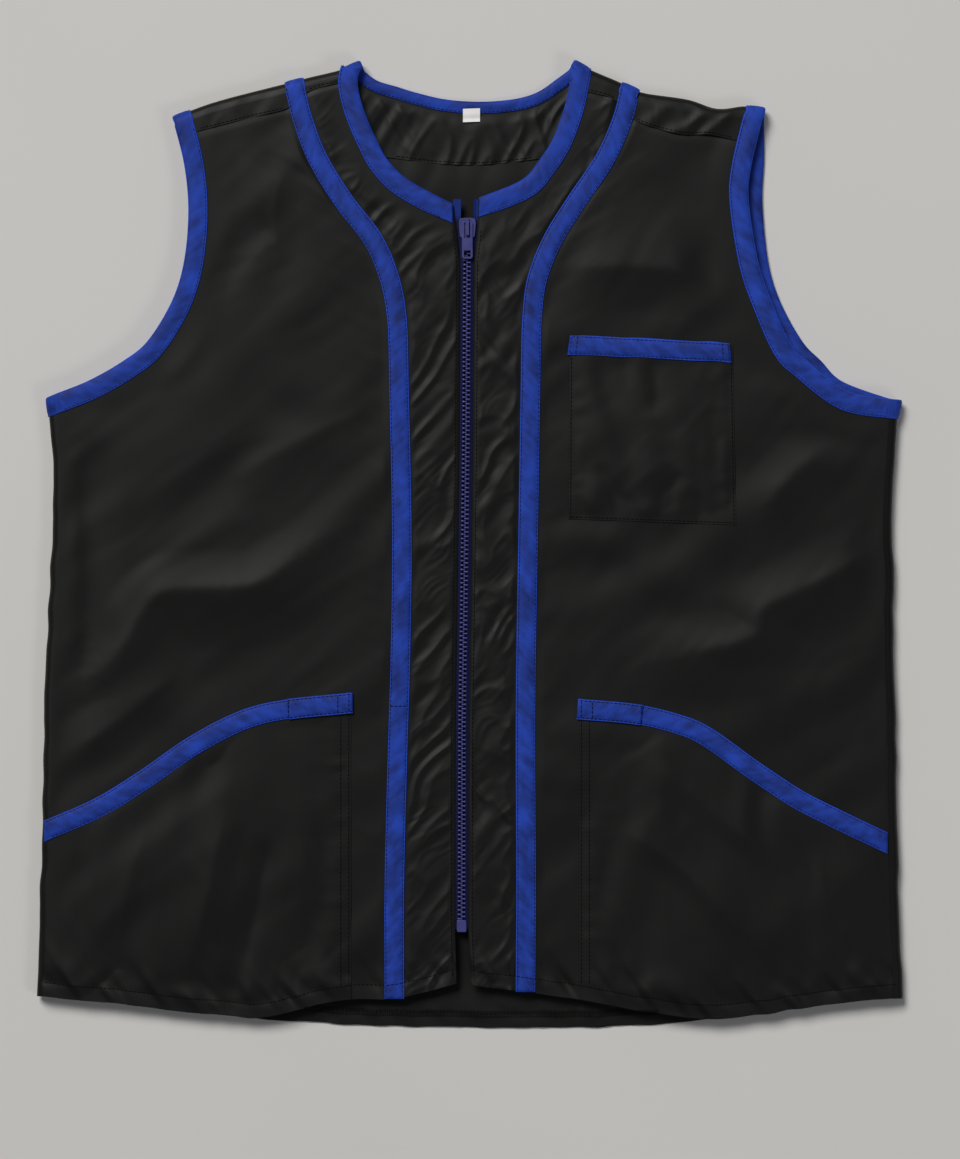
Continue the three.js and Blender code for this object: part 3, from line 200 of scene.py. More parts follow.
# Shoulder as (x, y), from armhole to neck: the fold, and the front seam below it
SHOULDER_POINTS = ("armhole", "tape", "outer", "middle", "stripe_out", "stripe_in", "neck_tape", "neck")
SHOULDER_FOLD = {
    "right": ((-194.8, 280), (-181.6, 285.6), (-166, 291), (-145, 296.7), (-122.6, 302.3),
              (-107, 306.4), (-84, 312), (-70.8, 317.2)),
    "left": ((194.8, 286), (181.2, 288), (163, 286.4), (143, 292.5), (113.8, 297), (98.4, 304),
             (81, 311.4), (68.5, 317.9)),
}
SHOULDER_SEAM = {
    "right": ((-190.2, 268.7), (-177.8, 271.6), (-162.5, 275.4), (-141.5, 280.8), (-119.4, 286.5),
              (-105, 297.6), (-86, 303), (-73, 306)),
    "left": ((188.2, 263.2), (174.5, 265.6), (157, 269.2), (138, 269.6), (109.6, 278.4),
             (95.4, 292), (79.4, 297), (65, 299.6)),
}

# Lower edges as (x, y)
HEM_FRONT = {
    "right": ((-284, -296), (-218, -302.4), (-171, -308), (-135, -310), (-102, -302.4),
              (-73.5, -298), (-49, -297.5), (-8, -287.5)),
    "left": ((1, -288.8), (37, -293.4), (69.5, -298), (101.7, -304.1), (130, -308), (157, -311),
             (193, -308), (240, -301), (284.7, -297)),
}
HEM_BACK = (
    (-284, -296.2), (-218, -303), (-152, -311), (-102, -314.6), (-50, -317), (60, -317.8),
    (100, -317), (150, -313.5), (222, -303), (284.7, -297.2),
)

# Pockets: mouths of the lower ones as (x, y), their tapes and tabs, and corners of the chest pocket
POCKET_MOUTH = {
    "right": ((-281, -181.6), (-244.4, -165.5), (-214.5, -146.9), (-184.3, -126), (-152.3, -109.4),
              (-127, -102.3), (-78, -97)),
    "left": ((72, -101), (113.5, -105), (145, -113.2), (161, -121.2), (189.6, -141.7),
             (218.4, -160.7), (237.5, -170.6), (278, -190)),
}
POCKET_INNER = {"right": -77.5, "left": 72.4}
POCKET_FROM_FOLD = {"right": 1.0, "left": 6.8}
POCKET_SIDE_Y = -180.0
POCKET_SLACK = 1.4
POCKET_FLAT = 17.0
POCKET_CLEAR = 0.4
POCKET_LOFT = 0.4
TAB_LENGTH = 42.0
TAB_WIDTH = 13.8
TAB_PAST_END = 1.0
MOUTH_TAPE_Z = 0.9
MOUTH_TAPE_RISE = 1.5
TAB_Z = 2.2
TAB_RISE = 1.1
CHEST_POCKET = {"top": ((66, 136), (173, 130.8)), "low": ((65.3, 17.1), (175.2, 13.1))}
CHEST_TAPE = {"top": ((66.3, 138.2), (170.9, 132.5)), "low": ((64.4, 124.6), (172.1, 120))}
CHEST_SLACK = 1.2

# Size label at the back of the neck
LABEL = {"x": 1.6, "top": 287.0, "length": 8.8, "width": 11.2, "tilt": 2.0}

# Long folds of the fronts, pockets and yoke, each along a path of (x, y); below zero is a valley,
# and a lean makes a fold steeper on the right of its path, or on the left when it is negative
Fold = namedtuple("Fold", "path half_width height lean")
FOLDS = [Fold(*row) for row in (
    (((-50, 24), (-96, 5), (-134, -23), (-156, -28), (-198, -30), (-215, -46), (-228, -68), (-247, -87),
      (-280, -100)), 34, 3.6, 0.25),
    (((-186, -80), (-218, -106), (-242, -124), (-285, -154)), 24, 1.7, 0.1),
    (((-56, 92), (-111, 69), (-160, 38)), 28, 1.4, 0.1),
    (((-126, 204), (-150, 178), (-172, 158), (-194, 134)), 30, 2.2, 0.0),
    (((-249, 108), (-254, 40), (-252, -33), (-256, -116)), 28, -2.4, 0.0),
    (((-152, 266), (-145, 240), (-136, 206)), 20, 1.0, 0.0),
    (((-122, 246), (-128, 214), (-122, 180)), 15, 0.8, 0.0),
    (((284, 4), (256, -10), (217, -30), (194, -42), (186, -60), (146, -71), (100, -82)), 34, 3.4, 0.2),
    (((280, 92), (250, 76), (226, 58), (204, 36), (186, 8)), 28, 2.1, 0.15),
    (((46, 180), (105, 183), (138, 180), (190, 170)), 36, 3.0, 0.15),
)]
POCKET_FOLDS = [Fold(*row) for row in (
    (((-131, -190), (-140, -240), (-152, -292)), 16, -1.9, 0.0),
    (((-160, -170), (-172, -232), (-186, -288)), 22, 1.6, -0.2),
    (((-112, -140), (-108, -215), (-112, -284)), 20, 1.3, 0.0),
    (((-254, -200), (-256, -240), (-256, -276)), 18, -1.8, 0.0),
    (((-212, -180), (-226, -236), (-234, -290)), 20, 1.4, 0.0),
    (((100, -132), (150, -166), (206, -214)), 20, 1.4, 0.3),
    (((88, -180), (142, -214), (196, -272)), 24, 1.5, 0.3),
    (((226, -196), (236, -240), (238, -282)), 19, 1.3, 0.0),
)]
CHEST_FOLDS = [Fold(*row) for row in (
    (((84, 54), (94, 36), (108, 14)), 10, -1.1, 0.0), (((139, 50), (131, 34), (123, 14)), 10, -1.1, 0.0),
    (((149, 36), (152, 24), (154, 14)), 7, -0.7, 0.0), (((71, 34), (74, 24), (77, 14)), 7, -0.6, 0.0),
    (((121, 124), (122, 104), (121, 82)), 16, -0.8, 0.0),
)]
YOKE_FOLDS = [Fold(*row) for row in (
    (((110, 272), (122, 281), (137, 292)), 7, 1.0, -0.2),
    (((126, 266), (146, 277), (166, 291)), 7, 1.5, -0.2),
    (((149, 266), (162, 276), (178, 290)), 7, 1.3, -0.2),
)]
FOLD_STEPS = 90
FOLD_END_FADE = 0.3
CREST_ROUND = 0.004
CREST_POWER = 1.5

# Small creases of each panel: the way they run, their width, length and height, and a seed
Crease = namedtuple("Crease", "angle width length height seed")
CREASES = {panel: [Crease(*row) for row in table] for panel, table in {
    "front_side_right": ((38, 24, 110, 0.8, 3), (128, 30, 80, 0.6, 4), (34, 9, 45, 0.13, 5)),
    "front_side_left": ((28, 24, 100, 0.8, 6), (-8, 22, 80, 0.5, 7), (52, 9, 40, 0.13, 8)),
    "front_centre_right": ((53, 9.5, 34, 0.62, 9), (44, 4.4, 18, 0.15, 10)),
    "front_centre_left": ((58, 10, 30, 0.62, 11), (126, 12, 26, 0.4, 12), (48, 4.2, 16, 0.13, 13)),
    "lower_pocket": ((84, 18, 75, 0.8, 14), (35, 24, 80, 0.7, 15), (110, 8, 30, 0.12, 16)),
    "chest_pocket": ((88, 13, 60, 0.7, 17), (8, 18, 60, 0.5, 18), (40, 6, 22, 0.1, 19)),
    "back_yoke": ((58, 7, 34, 0.6, 20), (112, 9, 30, 0.35, 21)),
    "back_panel": ((12, 24, 90, 0.5, 22), (75, 18, 80, 0.4, 23)),
}.items()}
CRISP = ("front_centre_right", "front_centre_left", "back_yoke")
BEND_SEED = 50

# Gathers beside stitched edges: how far they reach, their height, spacing and seed
Gathers = namedtuple("Gathers", "reach height spacing seed")
STRIPE_GATHERS = {"right": Gathers(12, 0.6, 6.5, 32), "left": Gathers(12, 0.6, 6.5, 34)}
POCKET_GATHERS = {"right": Gathers(14, 2.2, 11, 60), "left": Gathers(14, 2.2, 11, 62)}
POCKET_SIDE_PULL = {"right": Gathers(9, 0.6, 6, 63), "left": Gathers(9, 0.6, 6, 65)}
CHEST_GATHERS = Gathers(12, 0.9, 9, 81)
CHEST_SIDE_PULL = Gathers(8, 0.5, 6, 83)
GATHER_SLANT = 0.5
GATHERS_BELOW = 0.35
GATHERS_GROW = (40, 130)

# Slight rise and fall of the tapes along their run: its height and seed, and the lengths of its two waves
Ruffle = namedtuple("Ruffle", "height seed")
RUFFLES = {
    "neck_binding": Ruffle(0.08, 47),
    "armhole_binding_right": Ruffle(0.08, 40),
    "armhole_binding_left": Ruffle(0.08, 42),
    "front_stripe_right": Ruffle(0.07, 50),
    "front_stripe_left": Ruffle(0.07, 52),
    "lower_pocket_tape_right": Ruffle(0.06, 70),
    "lower_pocket_tape_left": Ruffle(0.06, 72),
    "chest_pocket_tape": Ruffle(0.08, 86),
}
RUFFLE_LONG = 9.0
RUFFLE_SHORT = 4.0

# Cut width and length of the pieces of cloth
CUT_SIZES = {
    "back_panel": (600, 580),
    "back_yoke": (400, 160),
    "front_side": (250, 600),
    "front_centre": (60, 600),
    "lower_pocket": (220, 215),
    "chest_pocket": (125, 140),
    "zip_tape": (14, 490),
    "size_label": (11.5, 10),
}


# Small tools


def smooth(value, low, high):
    t = np.clip((value - low) / (high - low), 0, 1)
    return t * t * (3 - 2 * t)


def lerp(a, b, t):
    return a + (b - a) * t


def unit(vectors):
    return vectors / np.linalg.norm(vectors, axis=-1, keepdims=True)


def solid_points(x, y, z):
    return np.stack(np.broadcast_arrays(x, y, z), -1).astype(float)


def curve_through(xs, ys):
    """Smooth function through the points."""
    xs, ys = np.array(xs, float), np.array(ys, float)
    slopes = np.gradient(ys, xs)
    slopes[1:-1] = (ys[2:] - ys[:-2]) / (xs[2:] - xs[:-2])

    def at(x):
        x = np.clip(x, xs[0], xs[-1])
        i = np.clip(np.searchsorted(xs, x) - 1, 0, len(xs) - 2)
        span = xs[i + 1] - xs[i]
        t = (x - xs[i]) / span
        start = ys[i] * (1 + 2 * t) + slopes[i] * span * t
        end = ys[i + 1] * (3 - 2 * t) + slopes[i + 1] * span * (t - 1)
        return start * (1 - t) ** 2 + end * t**2

    return at


def curve_of(points):
    """Smooth function of x through (x, y) points."""
    return curve_through(*np.transpose(points))


def plan(x, y):
    """Points (x, y) seen from above."""
    return np.stack(np.broadcast_arrays(x, y), -1)


def raised(places, z):
    """Points at a height over places seen from above."""
    return solid_points(places[..., 0], places[..., 1], z)


def upward(count):
    return np.tile((0.0, 0.0, 1.0), (count, 1))


def lengths_along(points):
    """How far each point is from the first, along the line through them."""
    steps = np.linalg.norm(np.diff(points, axis=0), axis=1)
    return np.concatenate([[0], np.cumsum(steps)])


class Line:
    """Smooth line in plan through (x, y) points, followed by a share from 0 to 1."""

    def __init__(self, points):
        self.points = np.array(points, float)

    def at(self, share):
        p = self.points
        place = np.clip(share, 0, 1) * (len(p) - 1)
        i = np.minimum(np.floor(place).astype(int), len(p) - 2)
        t = (place - i)[..., None]
        a, b, c, d = p[np.maximum(i - 1, 0)], p[i], p[i + 1], p[np.minimum(i + 2, len(p) - 1)]
        bend = t * (2 * a - 5 * b + 4 * c - d + t * (3 * (b - c) + d - a))
        return b + 0.5 * t * (c - a + bend)

    def tangent(self, share):
        step = 0.004
        return unit(self.at(np.clip(share + step, 0, 1)) - self.at(np.clip(share - step, 0, 1)))

    def beside(self, share, side, distance):
        """Point moved sideways; side is +1 to the right of the direction of travel."""
        along = self.tangent(share)
        return self.at(share) + side * distance * np.stack([along[..., 1], -along[..., 0]], -1)

    def where_y(self, y):
        shares = np.linspace(0, 1, 2001)
        return shares[np.argmax(self.at(shares)[:, 1] >= y)]


def rumple(u, v, seed):
    """Smooth random heights from -1 to 1 over cells of size 1; the seed fixes them."""
    cells = 64
    grid = np.random.default_rng(seed).uniform(-1, 1, (cells, cells))
    i, j = np.floor(u).astype(int), np.floor(v).astype(int)
    s, t = smooth(u - i, 0, 1), smooth(v - j, 0, 1)
    low = lerp(grid[i % cells, j % cells], grid[(i + 1) % cells, j % cells], s)
    high = lerp(grid[i % cells, (j + 1) % cells], grid[(i + 1) % cells, (j + 1) % cells], s)
    return lerp(low, high, t)


def wavy(curve, waves):
    """The curve with the small waves of a sewn edge."""

    def at(x):
        places = np.asarray(x, float) / waves.spacing
        return curve(x) + waves.height * rumple(places, np.zeros(np.shape(x)), waves.seed)

    return at


def creases(panel, x, y):
    """Height of the small creases of a panel."""
    total = np.zeros(np.shape(x))
    for crease in CREASES[panel]:
        turn = math.radians(crease.angle)
        along = x * math.cos(turn) + y * math.sin(turn)
        across = y * math.cos(turn) - x * math.sin(turn)
        bend = rumple(along / crease.length, across / crease.length, crease.seed + BEND_SEED)
        bent = across + crease.width * bend
        wave = rumple(bent / crease.width, along / crease.length, crease.seed)
        total += crease.height * (1 - 2 * np.abs(wave) if panel in CRISP else wave)
    return total


# Lines of the vest


def each_side(make, table):
    return {side: make(table[side]) for side in SIDES}


fold_x = {
    side: wavy(curve_through(SIDE_FOLD["y"], SIDE_FOLD[side]), FOLD_WAVES[side]) for side in SIDES
}
stripe_x = {side: curve_through(STRIPE["y"], STRIPE[side]) for side in SIDES}
hem_y = {side: wavy(curve_of(HEM_FRONT[side]), HEM_WAVES[side]) for side in SIDES}
hem_back_y = wavy(curve_of(HEM_BACK), BACK_HEM_WAVES)
mouth_y = each_side(curve_of, POCKET_MOUTH)
armhole_front = each_side(Line, ARMHOLE_FRONT)
armhole_back = each_side(Line, ARMHOLE_BACK)
neck_front = each_side(Line, NECK_FRONT)
neck_back = Line(NECK_BACK)
shoulder_fold = each_side(Line, SHOULDER_FOLD)
shoulder_seam = each_side(Line, SHOULDER_SEAM)

# Which side of the direction of travel the cloth lies on, going up an armhole or a neckline
ARMHOLE_CLOTH = {"right": 1, "left": -1}
NECK_CLOTH = {"right": -1, "left": 1}

outline_shares = np.linspace(0, 1, 49)
FRONT_EDGES = np.concatenate([
    line[side].at(outline_shares) for line in (armhole_front, neck_front) for side in SIDES
])
BACK_EDGES = np.concatenate([armhole_back[side].at(outline_shares) for side in SIDES])


def zip_x(y):
    return np.interp(y, FRONT_EDGE["y"], FRONT_EDGE["zip"])


def hem_at_stripe(side):
    return hem_y[side](stripe_x[side](STRIPE["y"][0]))


def edge_x(side, y):
    return np.interp(y, FRONT_EDGE["y"], FRONT_EDGE[side])


def teeth_apart(y):
    return np.interp(y, TEETH_SPREAD["y"], TEETH_SPREAD["apart"])


def seam_y(side, x):
    """Front shoulder seam."""
    points = np.array(sorted(SHOULDER_SEAM[side]))
    return np.interp(x, points[:, 0], points[:, 1])


def side_seam_y(side, x):
    """The seam of a side panel runs on straight under the stripe."""
    seam = dict(zip(SHOULDER_POINTS, SHOULDER_SEAM[side]))
    (start_x, start_y), (end_x, end_y) = seam["middle"], seam["stripe_out"]
    straight = lerp(start_y, end_y, (x - start_x) / (end_x - start_x))
    return np.where((x - end_x) * SIGN[side] < 0, straight, seam_y(side, x))


def yoke_seam_y(x):
    return YOKE_SEAM_LOW + YOKE_SEAM_RISE * (1 - np.exp(-((x / YOKE_SEAM_SPREAD) ** 2)))


# Heights of the cloth


def nearest(points, x, y):
    return np.hypot(np.asarray(x)[..., None] - points[:, 0], np.asarray(y)[..., None] - points[:, 1]).min(-1)


def back_height(x, y):
    by_armhole = 1 - smooth(nearest(BACK_EDGES, x, y), LIFT_FULL, LIFT_NONE)
    return BACK_Z + BACK_LIFT * np.maximum(by_armhole, smooth(y, YOKE_LIFT_START, YOKE_LIFT_END))


def crest(t):
    """Section across a fold: crisp along its line, fading to both sides."""
    return np.clip(1 - np.sqrt(t**2 + CREST_ROUND), 0, None) ** CREST_POWER


def fold_height(table, x, y):
    """Height of the long folds, each highest along its path and fading to both ends of it."""
    total = np.zeros(np.shape(x))
    shares = np.linspace(0, 1, FOLD_STEPS)
    for fold in table:
        line = Line(fold.path)
        track, way = line.at(shares), line.tangent(shares)
        near = np.hypot(x[..., None] - track[:, 0], y[..., None] - track[:, 1]).argmin(-1)
        over_x, over_y = x - track[near, 0], y - track[near, 1]
        across = way[near, 0] * over_y - way[near, 1] * over_x
        width = fold.half_width * np.where(across < 0, 1 - fold.lean, 1 + fold.lean)
        fade = smooth(np.minimum(shares, 1 - shares), 0, FOLD_END_FADE)[near]
        total += fold.height * fade * crest(np.hypot(over_x, over_y) / width)
    return total


def fold_radius(side, y):
    return (FRONT_Z - back_height(fold_x[side](y), y)) / 2


def front_height(side, x, y):
    """Middle of the front cloth with its long folds."""
    from_fold = np.abs(fold_x[side](y) - x)
    loose = smooth(nearest(FRONT_EDGES, x, y), CALM_BY_EDGE, CALM_BY_EDGE + CALM_FADE)
    for distance, full in (
        (np.abs(x - stripe_x[side](y)), CALM_BY_STRIPE),
        (np.abs(x - zip_x(y)), CALM_BY_ZIP),
        (from_fold, CALM_BY_STRIPE),
    ):
        loose = loose * smooth(distance, full, full + CALM_FADE)
    radius = fold_radius(side, y)
    inside = np.clip(radius - from_fold, 0, radius)
    drop = radius - np.sqrt(radius**2 - inside**2)
    return FRONT_Z - drop + loose * fold_height(FOLDS, x, y)


def hem_puckers(puckers, x, up):
    """Slanting puckers along a hem's stitching."""
    waves = rumple((x + PUCKER_SLANT * up) / PUCKER_SPACING, up / puckers.length, puckers.seed)
    return PUCKER_HEIGHT * waves * np.exp(-np.abs(up - HEM_DEPTH) / puckers.reach)


def hem_form(side, x, y):
    """Turned-up hem: thicker below its stitching, drawn in and puckered along it."""
    up = y - hem_y[side](x)
    band = HEM_BAND_RISE * (1 - smooth(up, HEM_DEPTH - HEM_BAND_FADE, HEM_DEPTH + HEM_BAND_FADE))
    drawn = -HEM_DRAWN_IN * np.exp(-(((up - HEM_DEPTH) / HEM_DRAWN_WIDTH) ** 2))
    return band + drawn + hem_puckers(FRONT_PUCKERS, x, up)


def gathered(gathers, distance, along):
    """Small gathers that start at a stitched edge and fade within their reach."""
    rise = smooth(distance, 0, gathers.reach)
    waves = rumple(along / gathers.spacing, distance / (3 * gathers.reach), gathers.seed)
    return gathers.height * rise * np.exp(-distance / gathers.reach) * waves


def front_detail(panel, side, x, y):
    """Creases, gathers and hem of a front panel, still beside its bindings and under its stripe."""
    by_edge = smooth(nearest(FRONT_EDGES, x, y), *GROW_FROM_BINDING)
    by_side = smooth(np.abs(fold_x[side](y) - x), *GROW_FROM_SIDE)
    from_stripe = np.abs(x - stripe_x[side](y)) - TAPE_WIDTH / 2
    from_zip = np.abs(x - edge_x(side, y)) - ZIP_EDGE
    still = smooth(from_stripe, *GROW_FROM_SEAM) * smooth(from_zip, *GROW_FROM_SEAM)
    small = creases(panel, x, y) * by_edge * by_side * still
    gathers = gathered(STRIPE_GATHERS[side], from_stripe.clip(0), y - GATHER_SLANT * np.abs(x))
    gathers = gathers * lerp(GATHERS_BELOW, 1, smooth(y, *GATHERS_GROW))
    return small + gathers * by_edge + hem_form(side, x, y)


# Meshes


def add_piece(name, points, faces, cut, finish):
    """A piece of the vest from points in millimetres; cut holds its flat coordinates."""
    used, corners = np.unique(np.concatenate([np.ravel(face) for face in faces]), return_inverse=True)
    sizes = [len(face) for face in faces]
    lists = [part.tolist() for part in np.split(corners, np.cumsum(sizes)[:-1])]
    shown = f"fine_{name}" if name in frame["nodes"] else name
    mesh = bpy.data.meshes.new(shown)
    mesh.from_pydata((points[used] * MM).tolist(), [], lists)
    layer = mesh.uv_layers.new(name="cut")
    loops = np.empty(len(mesh.loops), int)
    mesh.loops.foreach_get("vertex_index", loops)
    layer.data.foreach_set("uv", (cut[used][loops] * MM).ravel())
    mesh.shade_smooth()
    mesh.materials.append(finish_of(finish))
    piece = bpy.data.objects.new(shown, mesh)
    bpy.context.scene.collection.objects.link(piece)
    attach(piece, "vest")
    return piece


def face_outwards(piece):
    build = bmesh.new()
    build.from_mesh(piece.data)
    bmesh.ops.recalc_face_normals(build, faces=build.faces)
    build.to_mesh(piece.data)
    build.free()


def all_cells(lattice):
    rows, count = lattice.shape[:2]
    return np.ones((rows - 1, count - 1), bool)


def cell_corners(grid):
    """The four corners of every cell of a grid, in order round it."""
    return grid[:-1, :-1], grid[:-1, 1:], grid[1:, 1:], grid[1:, :-1]


def lattice_faces(lattice, keep):
    rows, count = lattice.shape[:2]
    return np.stack(cell_corners(np.arange(rows * count).reshape(rows, count)), -1)[keep]


def lattice_area(lattice, keep):
    """Area of the kept cells of a lattice, in square metres."""
    a, b, c, d = cell_corners(lattice)
    areas = np.linalg.norm(np.cross(c - a, d - b), axis=-1) / 2
    return float(areas[keep].sum()) * MM**2


def tube_faces(count, size, closed=False):
    """Faces of a tube of rings, capped at both ends unless the last ring joins the first."""
    corner = np.arange(count * size).reshape(count, size)
    turned = np.roll(corner, -1, axis=1)
    quads = np.stack([corner, turned, np.roll(turned, -1, axis=0), np.roll(corner, -1, axis=0)], -1)
    if closed:
        return list(quads.reshape(-1, 4))
    return [*quads[:-1].reshape(-1, 4), corner[0, ::-1], corner[-1]]


def many(forms, faces):
    """Points and faces of many like forms, each given by its points."""
    starts = np.arange(len(forms)) * len(forms[0])
    return np.concatenate(forms), [face + start for start in starts for face in faces]


def edged(lattice):
    """The lattice with a narrow row and column along each edge, so that only the edge looks round."""
    share = 0.06
    for axis in (0, 1):
        rows = np.moveaxis(lattice, axis, 0)
        first, last = lerp(rows[:1], rows[1:2], share), lerp(rows[-1:], rows[-2:-1], share)
        rows = np.concatenate([rows[:1], first, rows[1:-1], last, rows[-1:]])
        lattice = np.moveaxis(rows, 0, axis)
    return lattice


def cloth_piece(name, lattice, keep=None, finish="cloth"):
    """Sheet of cloth over the kept cells of a lattice of points, thickened evenly."""
    keep = all_cells(lattice) if keep is None else keep
    keep = np.pad(keep, 1, mode="edge")
    lattice = edged(lattice)
    points = lattice.reshape(-1, 3)
    piece = add_piece(name, points, lattice_faces(lattice, keep), points[:, :2], finish)
    wall = piece.modifiers.new("cloth thickness", "SOLIDIFY")
    wall.thickness = bpy.context.scene.vest_sizes.cloth_thickness
    wall.offset = 0
    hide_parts(name)
    flat = CUT_SIZES[name.removesuffix("_right").removesuffix("_left")]
    width, length = (size * MM for size in flat)
    area = min(lattice_area(lattice, keep), width * length)


def ruffled(name, stations):
    """Stations of a tape with its slight rise and fall, if it has one."""
    if name not in RUFFLES:
        return stations
    point, inward, normal = stations
    height, seed = RUFFLES[name]
    along = lengths_along(point)
    long_waves = rumple(along / RUFFLE_LONG, along * 0 + seed, seed)
    short_waves = rumple(along / RUFFLE_SHORT, along * 0, seed + 1)
    lift = height * (long_waves + 0.5 * short_waves)
    return point + normal * lift[:, None], inward, normal


def swept_piece(name, stations, section, closed=False):
    """A folded tape: its section (across, out) carried along stations of point, inward and normal."""
    point, inward, normal = ruffled(name, stations)
    ring = point[:, None] + section[:, :1] * inward[:, None] + section[:, 1:] * normal[:, None]
    along, across = lengths_along(point), lengths_along(section)
    cut = plan(along[:, None], across).reshape(-1, 2)
    faces = tube_faces(*ring.shape[:2], closed)
    piece = add_piece(name, ring.reshape(-1, 3), faces, cut, "tape")
    face_outwards(piece)
    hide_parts(name)


def rolled(apex, outward, low, angle):
    """Points and normals of cloth rolled over a fold: angle 90 is on the front, -90 on the back."""
    radius = (FRONT_Z - low) / 2
    turn = np.radians(np.asarray(angle, float))[..., None]
    up = np.array([0.0, 0.0, 1.0])
    normal = outward * np.cos(turn) + up * np.sin(turn)
    centre = np.array([*apex, low + radius]) - outward * radius
    return centre + normal * radius, normal


def side_roll(side, y, angle):
    """Cloth rolled over a side fold at each height y, over the given angles."""
    turn = np.radians(angle)
    radius = fold_radius(side, y)[:, None]
    x = fold_x[side](y)[:, None] - SIGN[side] * radius * (1 - np.cos(turn))
    return solid_points(x, y[:, None], FRONT_Z - radius * (1 - np.sin(turn)))


# Finishes


class Wire:
    """A socket of a shader; Python's operators on it add Math nodes."""

    def __init__(self, paint, socket):
        self.paint = paint
        self.socket = socket

    def maths(self, operation, first, second=0.0):
        return self.paint.node("ShaderNodeMath", {"operation": operation}, {0: first, 1: second})

    def __add__(self, other):
        return self.maths("ADD", self, other)

    __radd__ = __add__

    def __sub__(self, other):
        return self.maths("SUBTRACT", self, other)

    def __rsub__(self, other):
        return self.maths("SUBTRACT", other, self)

    def __mul__(self, other):
        return self.maths("MULTIPLY", self, other)

    __rmul__ = __mul__

    def sine(self):
        return self.maths("SINE", self)

    def size(self):
        return self.maths("ABSOLUTE", self)


class Paint:
    """One material: its nodes are added by node(), and its shader is fed by set()."""

    def __init__(self, name):
        self.material = bpy.data.materials.new(name)
        self.material.use_nodes = True
        self.tree = self.material.node_tree
        self.shader = self.tree.nodes["Principled BSDF"]

    def feed(self, socket, value):
        if isinstance(value, Wire):
            self.tree.links.new(value.socket, socket)
        else:
            socket.default_value = value

    def node(self, kind, settings, values, out=0):
        made = self.tree.nodes.new(kind)
        for key, value in settings.items():
            setattr(made, key, value)
        for key, value in values.items():
            self.feed(made.inputs[key], value)
        return Wire(self, made.outputs[out])

    def set(self, **values):
        for key, value in values.items():
            self.feed(self.shader.inputs[key.replace("_", " ").title().replace("Ior", "IOR")], value)

    def places(self):
        """Flat coordinates of the piece in metres."""
        flat = {"Vector": self.node("ShaderNodeUVMap", {"uv_map": "cut"}, {})}
        return (self.node("ShaderNodeSeparateXYZ", {}, flat, axis) for axis in "XY")

    def position(self):
        """Place in the piece's own space in metres."""
        return self.node("ShaderNodeTexCoord", {}, {}, "Object")

    def above(self, height, rise):
        """From 0 at a height in millimetres to 1 at so much above it."""
        z = self.node("ShaderNodeSeparateXYZ", {}, {"Vector": self.position()}, "Z")
        return (z - height * MM) * (1 / (rise * MM))

    def noise(self, dimensions, vector, scale, detail=2.0):
        """Soft noise from 0 to 1."""
        values = {"Vector": vector, "Scale": scale, "Detail": detail}
        return self.node("ShaderNodeTexNoise", {"noise_dimensions": dimensions}, values)

    def spread(self, u, v, scale):
        """Soft noise over flat coordinates."""
        return self.noise("2D", self.node("ShaderNodeCombineXYZ", {}, {0: u, 1: v}), scale)

    def shade(self, share, dark, light):
        return self.node("ShaderNodeMix", {"data_type": "RGBA"}, {0: share, 6: dark, 7: light}, 2)

    def tones(self, share, colour, dark, light):
        """From a darker to a lighter tone of one colour."""
        return self.shade(share, toned(colour, dark), toned(colour, light))

    def bump(self, height, depth, strength):
        return self.node("ShaderNodeBump", {}, {"Height": height, "Distance": depth, "Strength": strength})


def toned(colour, factor):
    return (*(channel * factor for channel in colour), 1.0)


def ribs(coordinate, pitch):
    """Fine waves that repeat at a pitch."""
    return (coordinate * (2 * math.pi / pitch)).sine()


# Pitch of the threads and ribs, in metres
CLOTH_THREADS = 0.0007
TAPE_TWILL = 0.0009
ZIP_TAPE_RIBS = 0.0011
ZIP_TAPE_THREADS = 0.0008
LABEL_RIBS = 0.0004


def black_cloth(paint, colour):
    """Thin woven cloth with a soft gloss and a fine plain weave."""
    u, v = paint.places()
    weave = ribs(u, CLOTH_THREADS) * ribs(v, CLOTH_THREADS)
    patches = paint.spread(u, v, 28.0)
    slub = paint.spread(u * 3.0, v * 60.0, 40.0)
    paint.set(base_color=paint.tones(patches * 0.7 + slub * 0.3, colour, 0.75, 1.3))
    paint.set(roughness=0.46 + patches * 0.08 + weave.size() * 0.04)
    paint.set(normal=paint.bump(weave * 0.5 + slub, 0.00004, 0.25))
    paint.set(specular_ior_level=0.27)


def blue_tape(paint, colour):
    """Woven tape cut on the bias: slanting bands and patches of tone, partly the weave's own and partly
    painted sheen and shade, a fine twill and a painted highlight along each folded edge.
    """
    u, v = paint.places()
    slant = u + v
    counter = u - v
    # Bands and patches of tone: partly the bias weave's own, partly painted sheen and shade standing for the
    # light on the tape's ripples
    bands = paint.spread(slant * 2.0, counter * 0.75, 80.0) * 2.2 - 0.6
    twill = ribs(slant, TAPE_TWILL) * ribs(counter, TAPE_TWILL)
    patches = paint.spread(u, v * 2.0, 45.0) * 2.4 - 0.7
    woven = paint.tones(bands * 0.42 + patches * 0.58, colour, 0.47, 1.52)
    # Painted highlight: a paler line along each folded edge of the tape, where the fold would catch the
    # light
    highlight_share = 0.7
    for place in TAPE_EDGE_HIGHLIGHTS:
        from_edge = (v - place * MM).size()
        folded = highlight_share - from_edge * (highlight_share / (TAPE_EDGE_HIGHLIGHT_WIDTH * MM))
        woven = paint.shade(folded, woven, toned(colour, 2.3))
    paint.set(base_color=woven)
    paint.set(roughness=0.52 + patches * 0.12)
    paint.set(normal=paint.bump(bands * 0.7 + twill * 0.25, 0.00012, 0.5))
    paint.set(specular_ior_level=0.22)


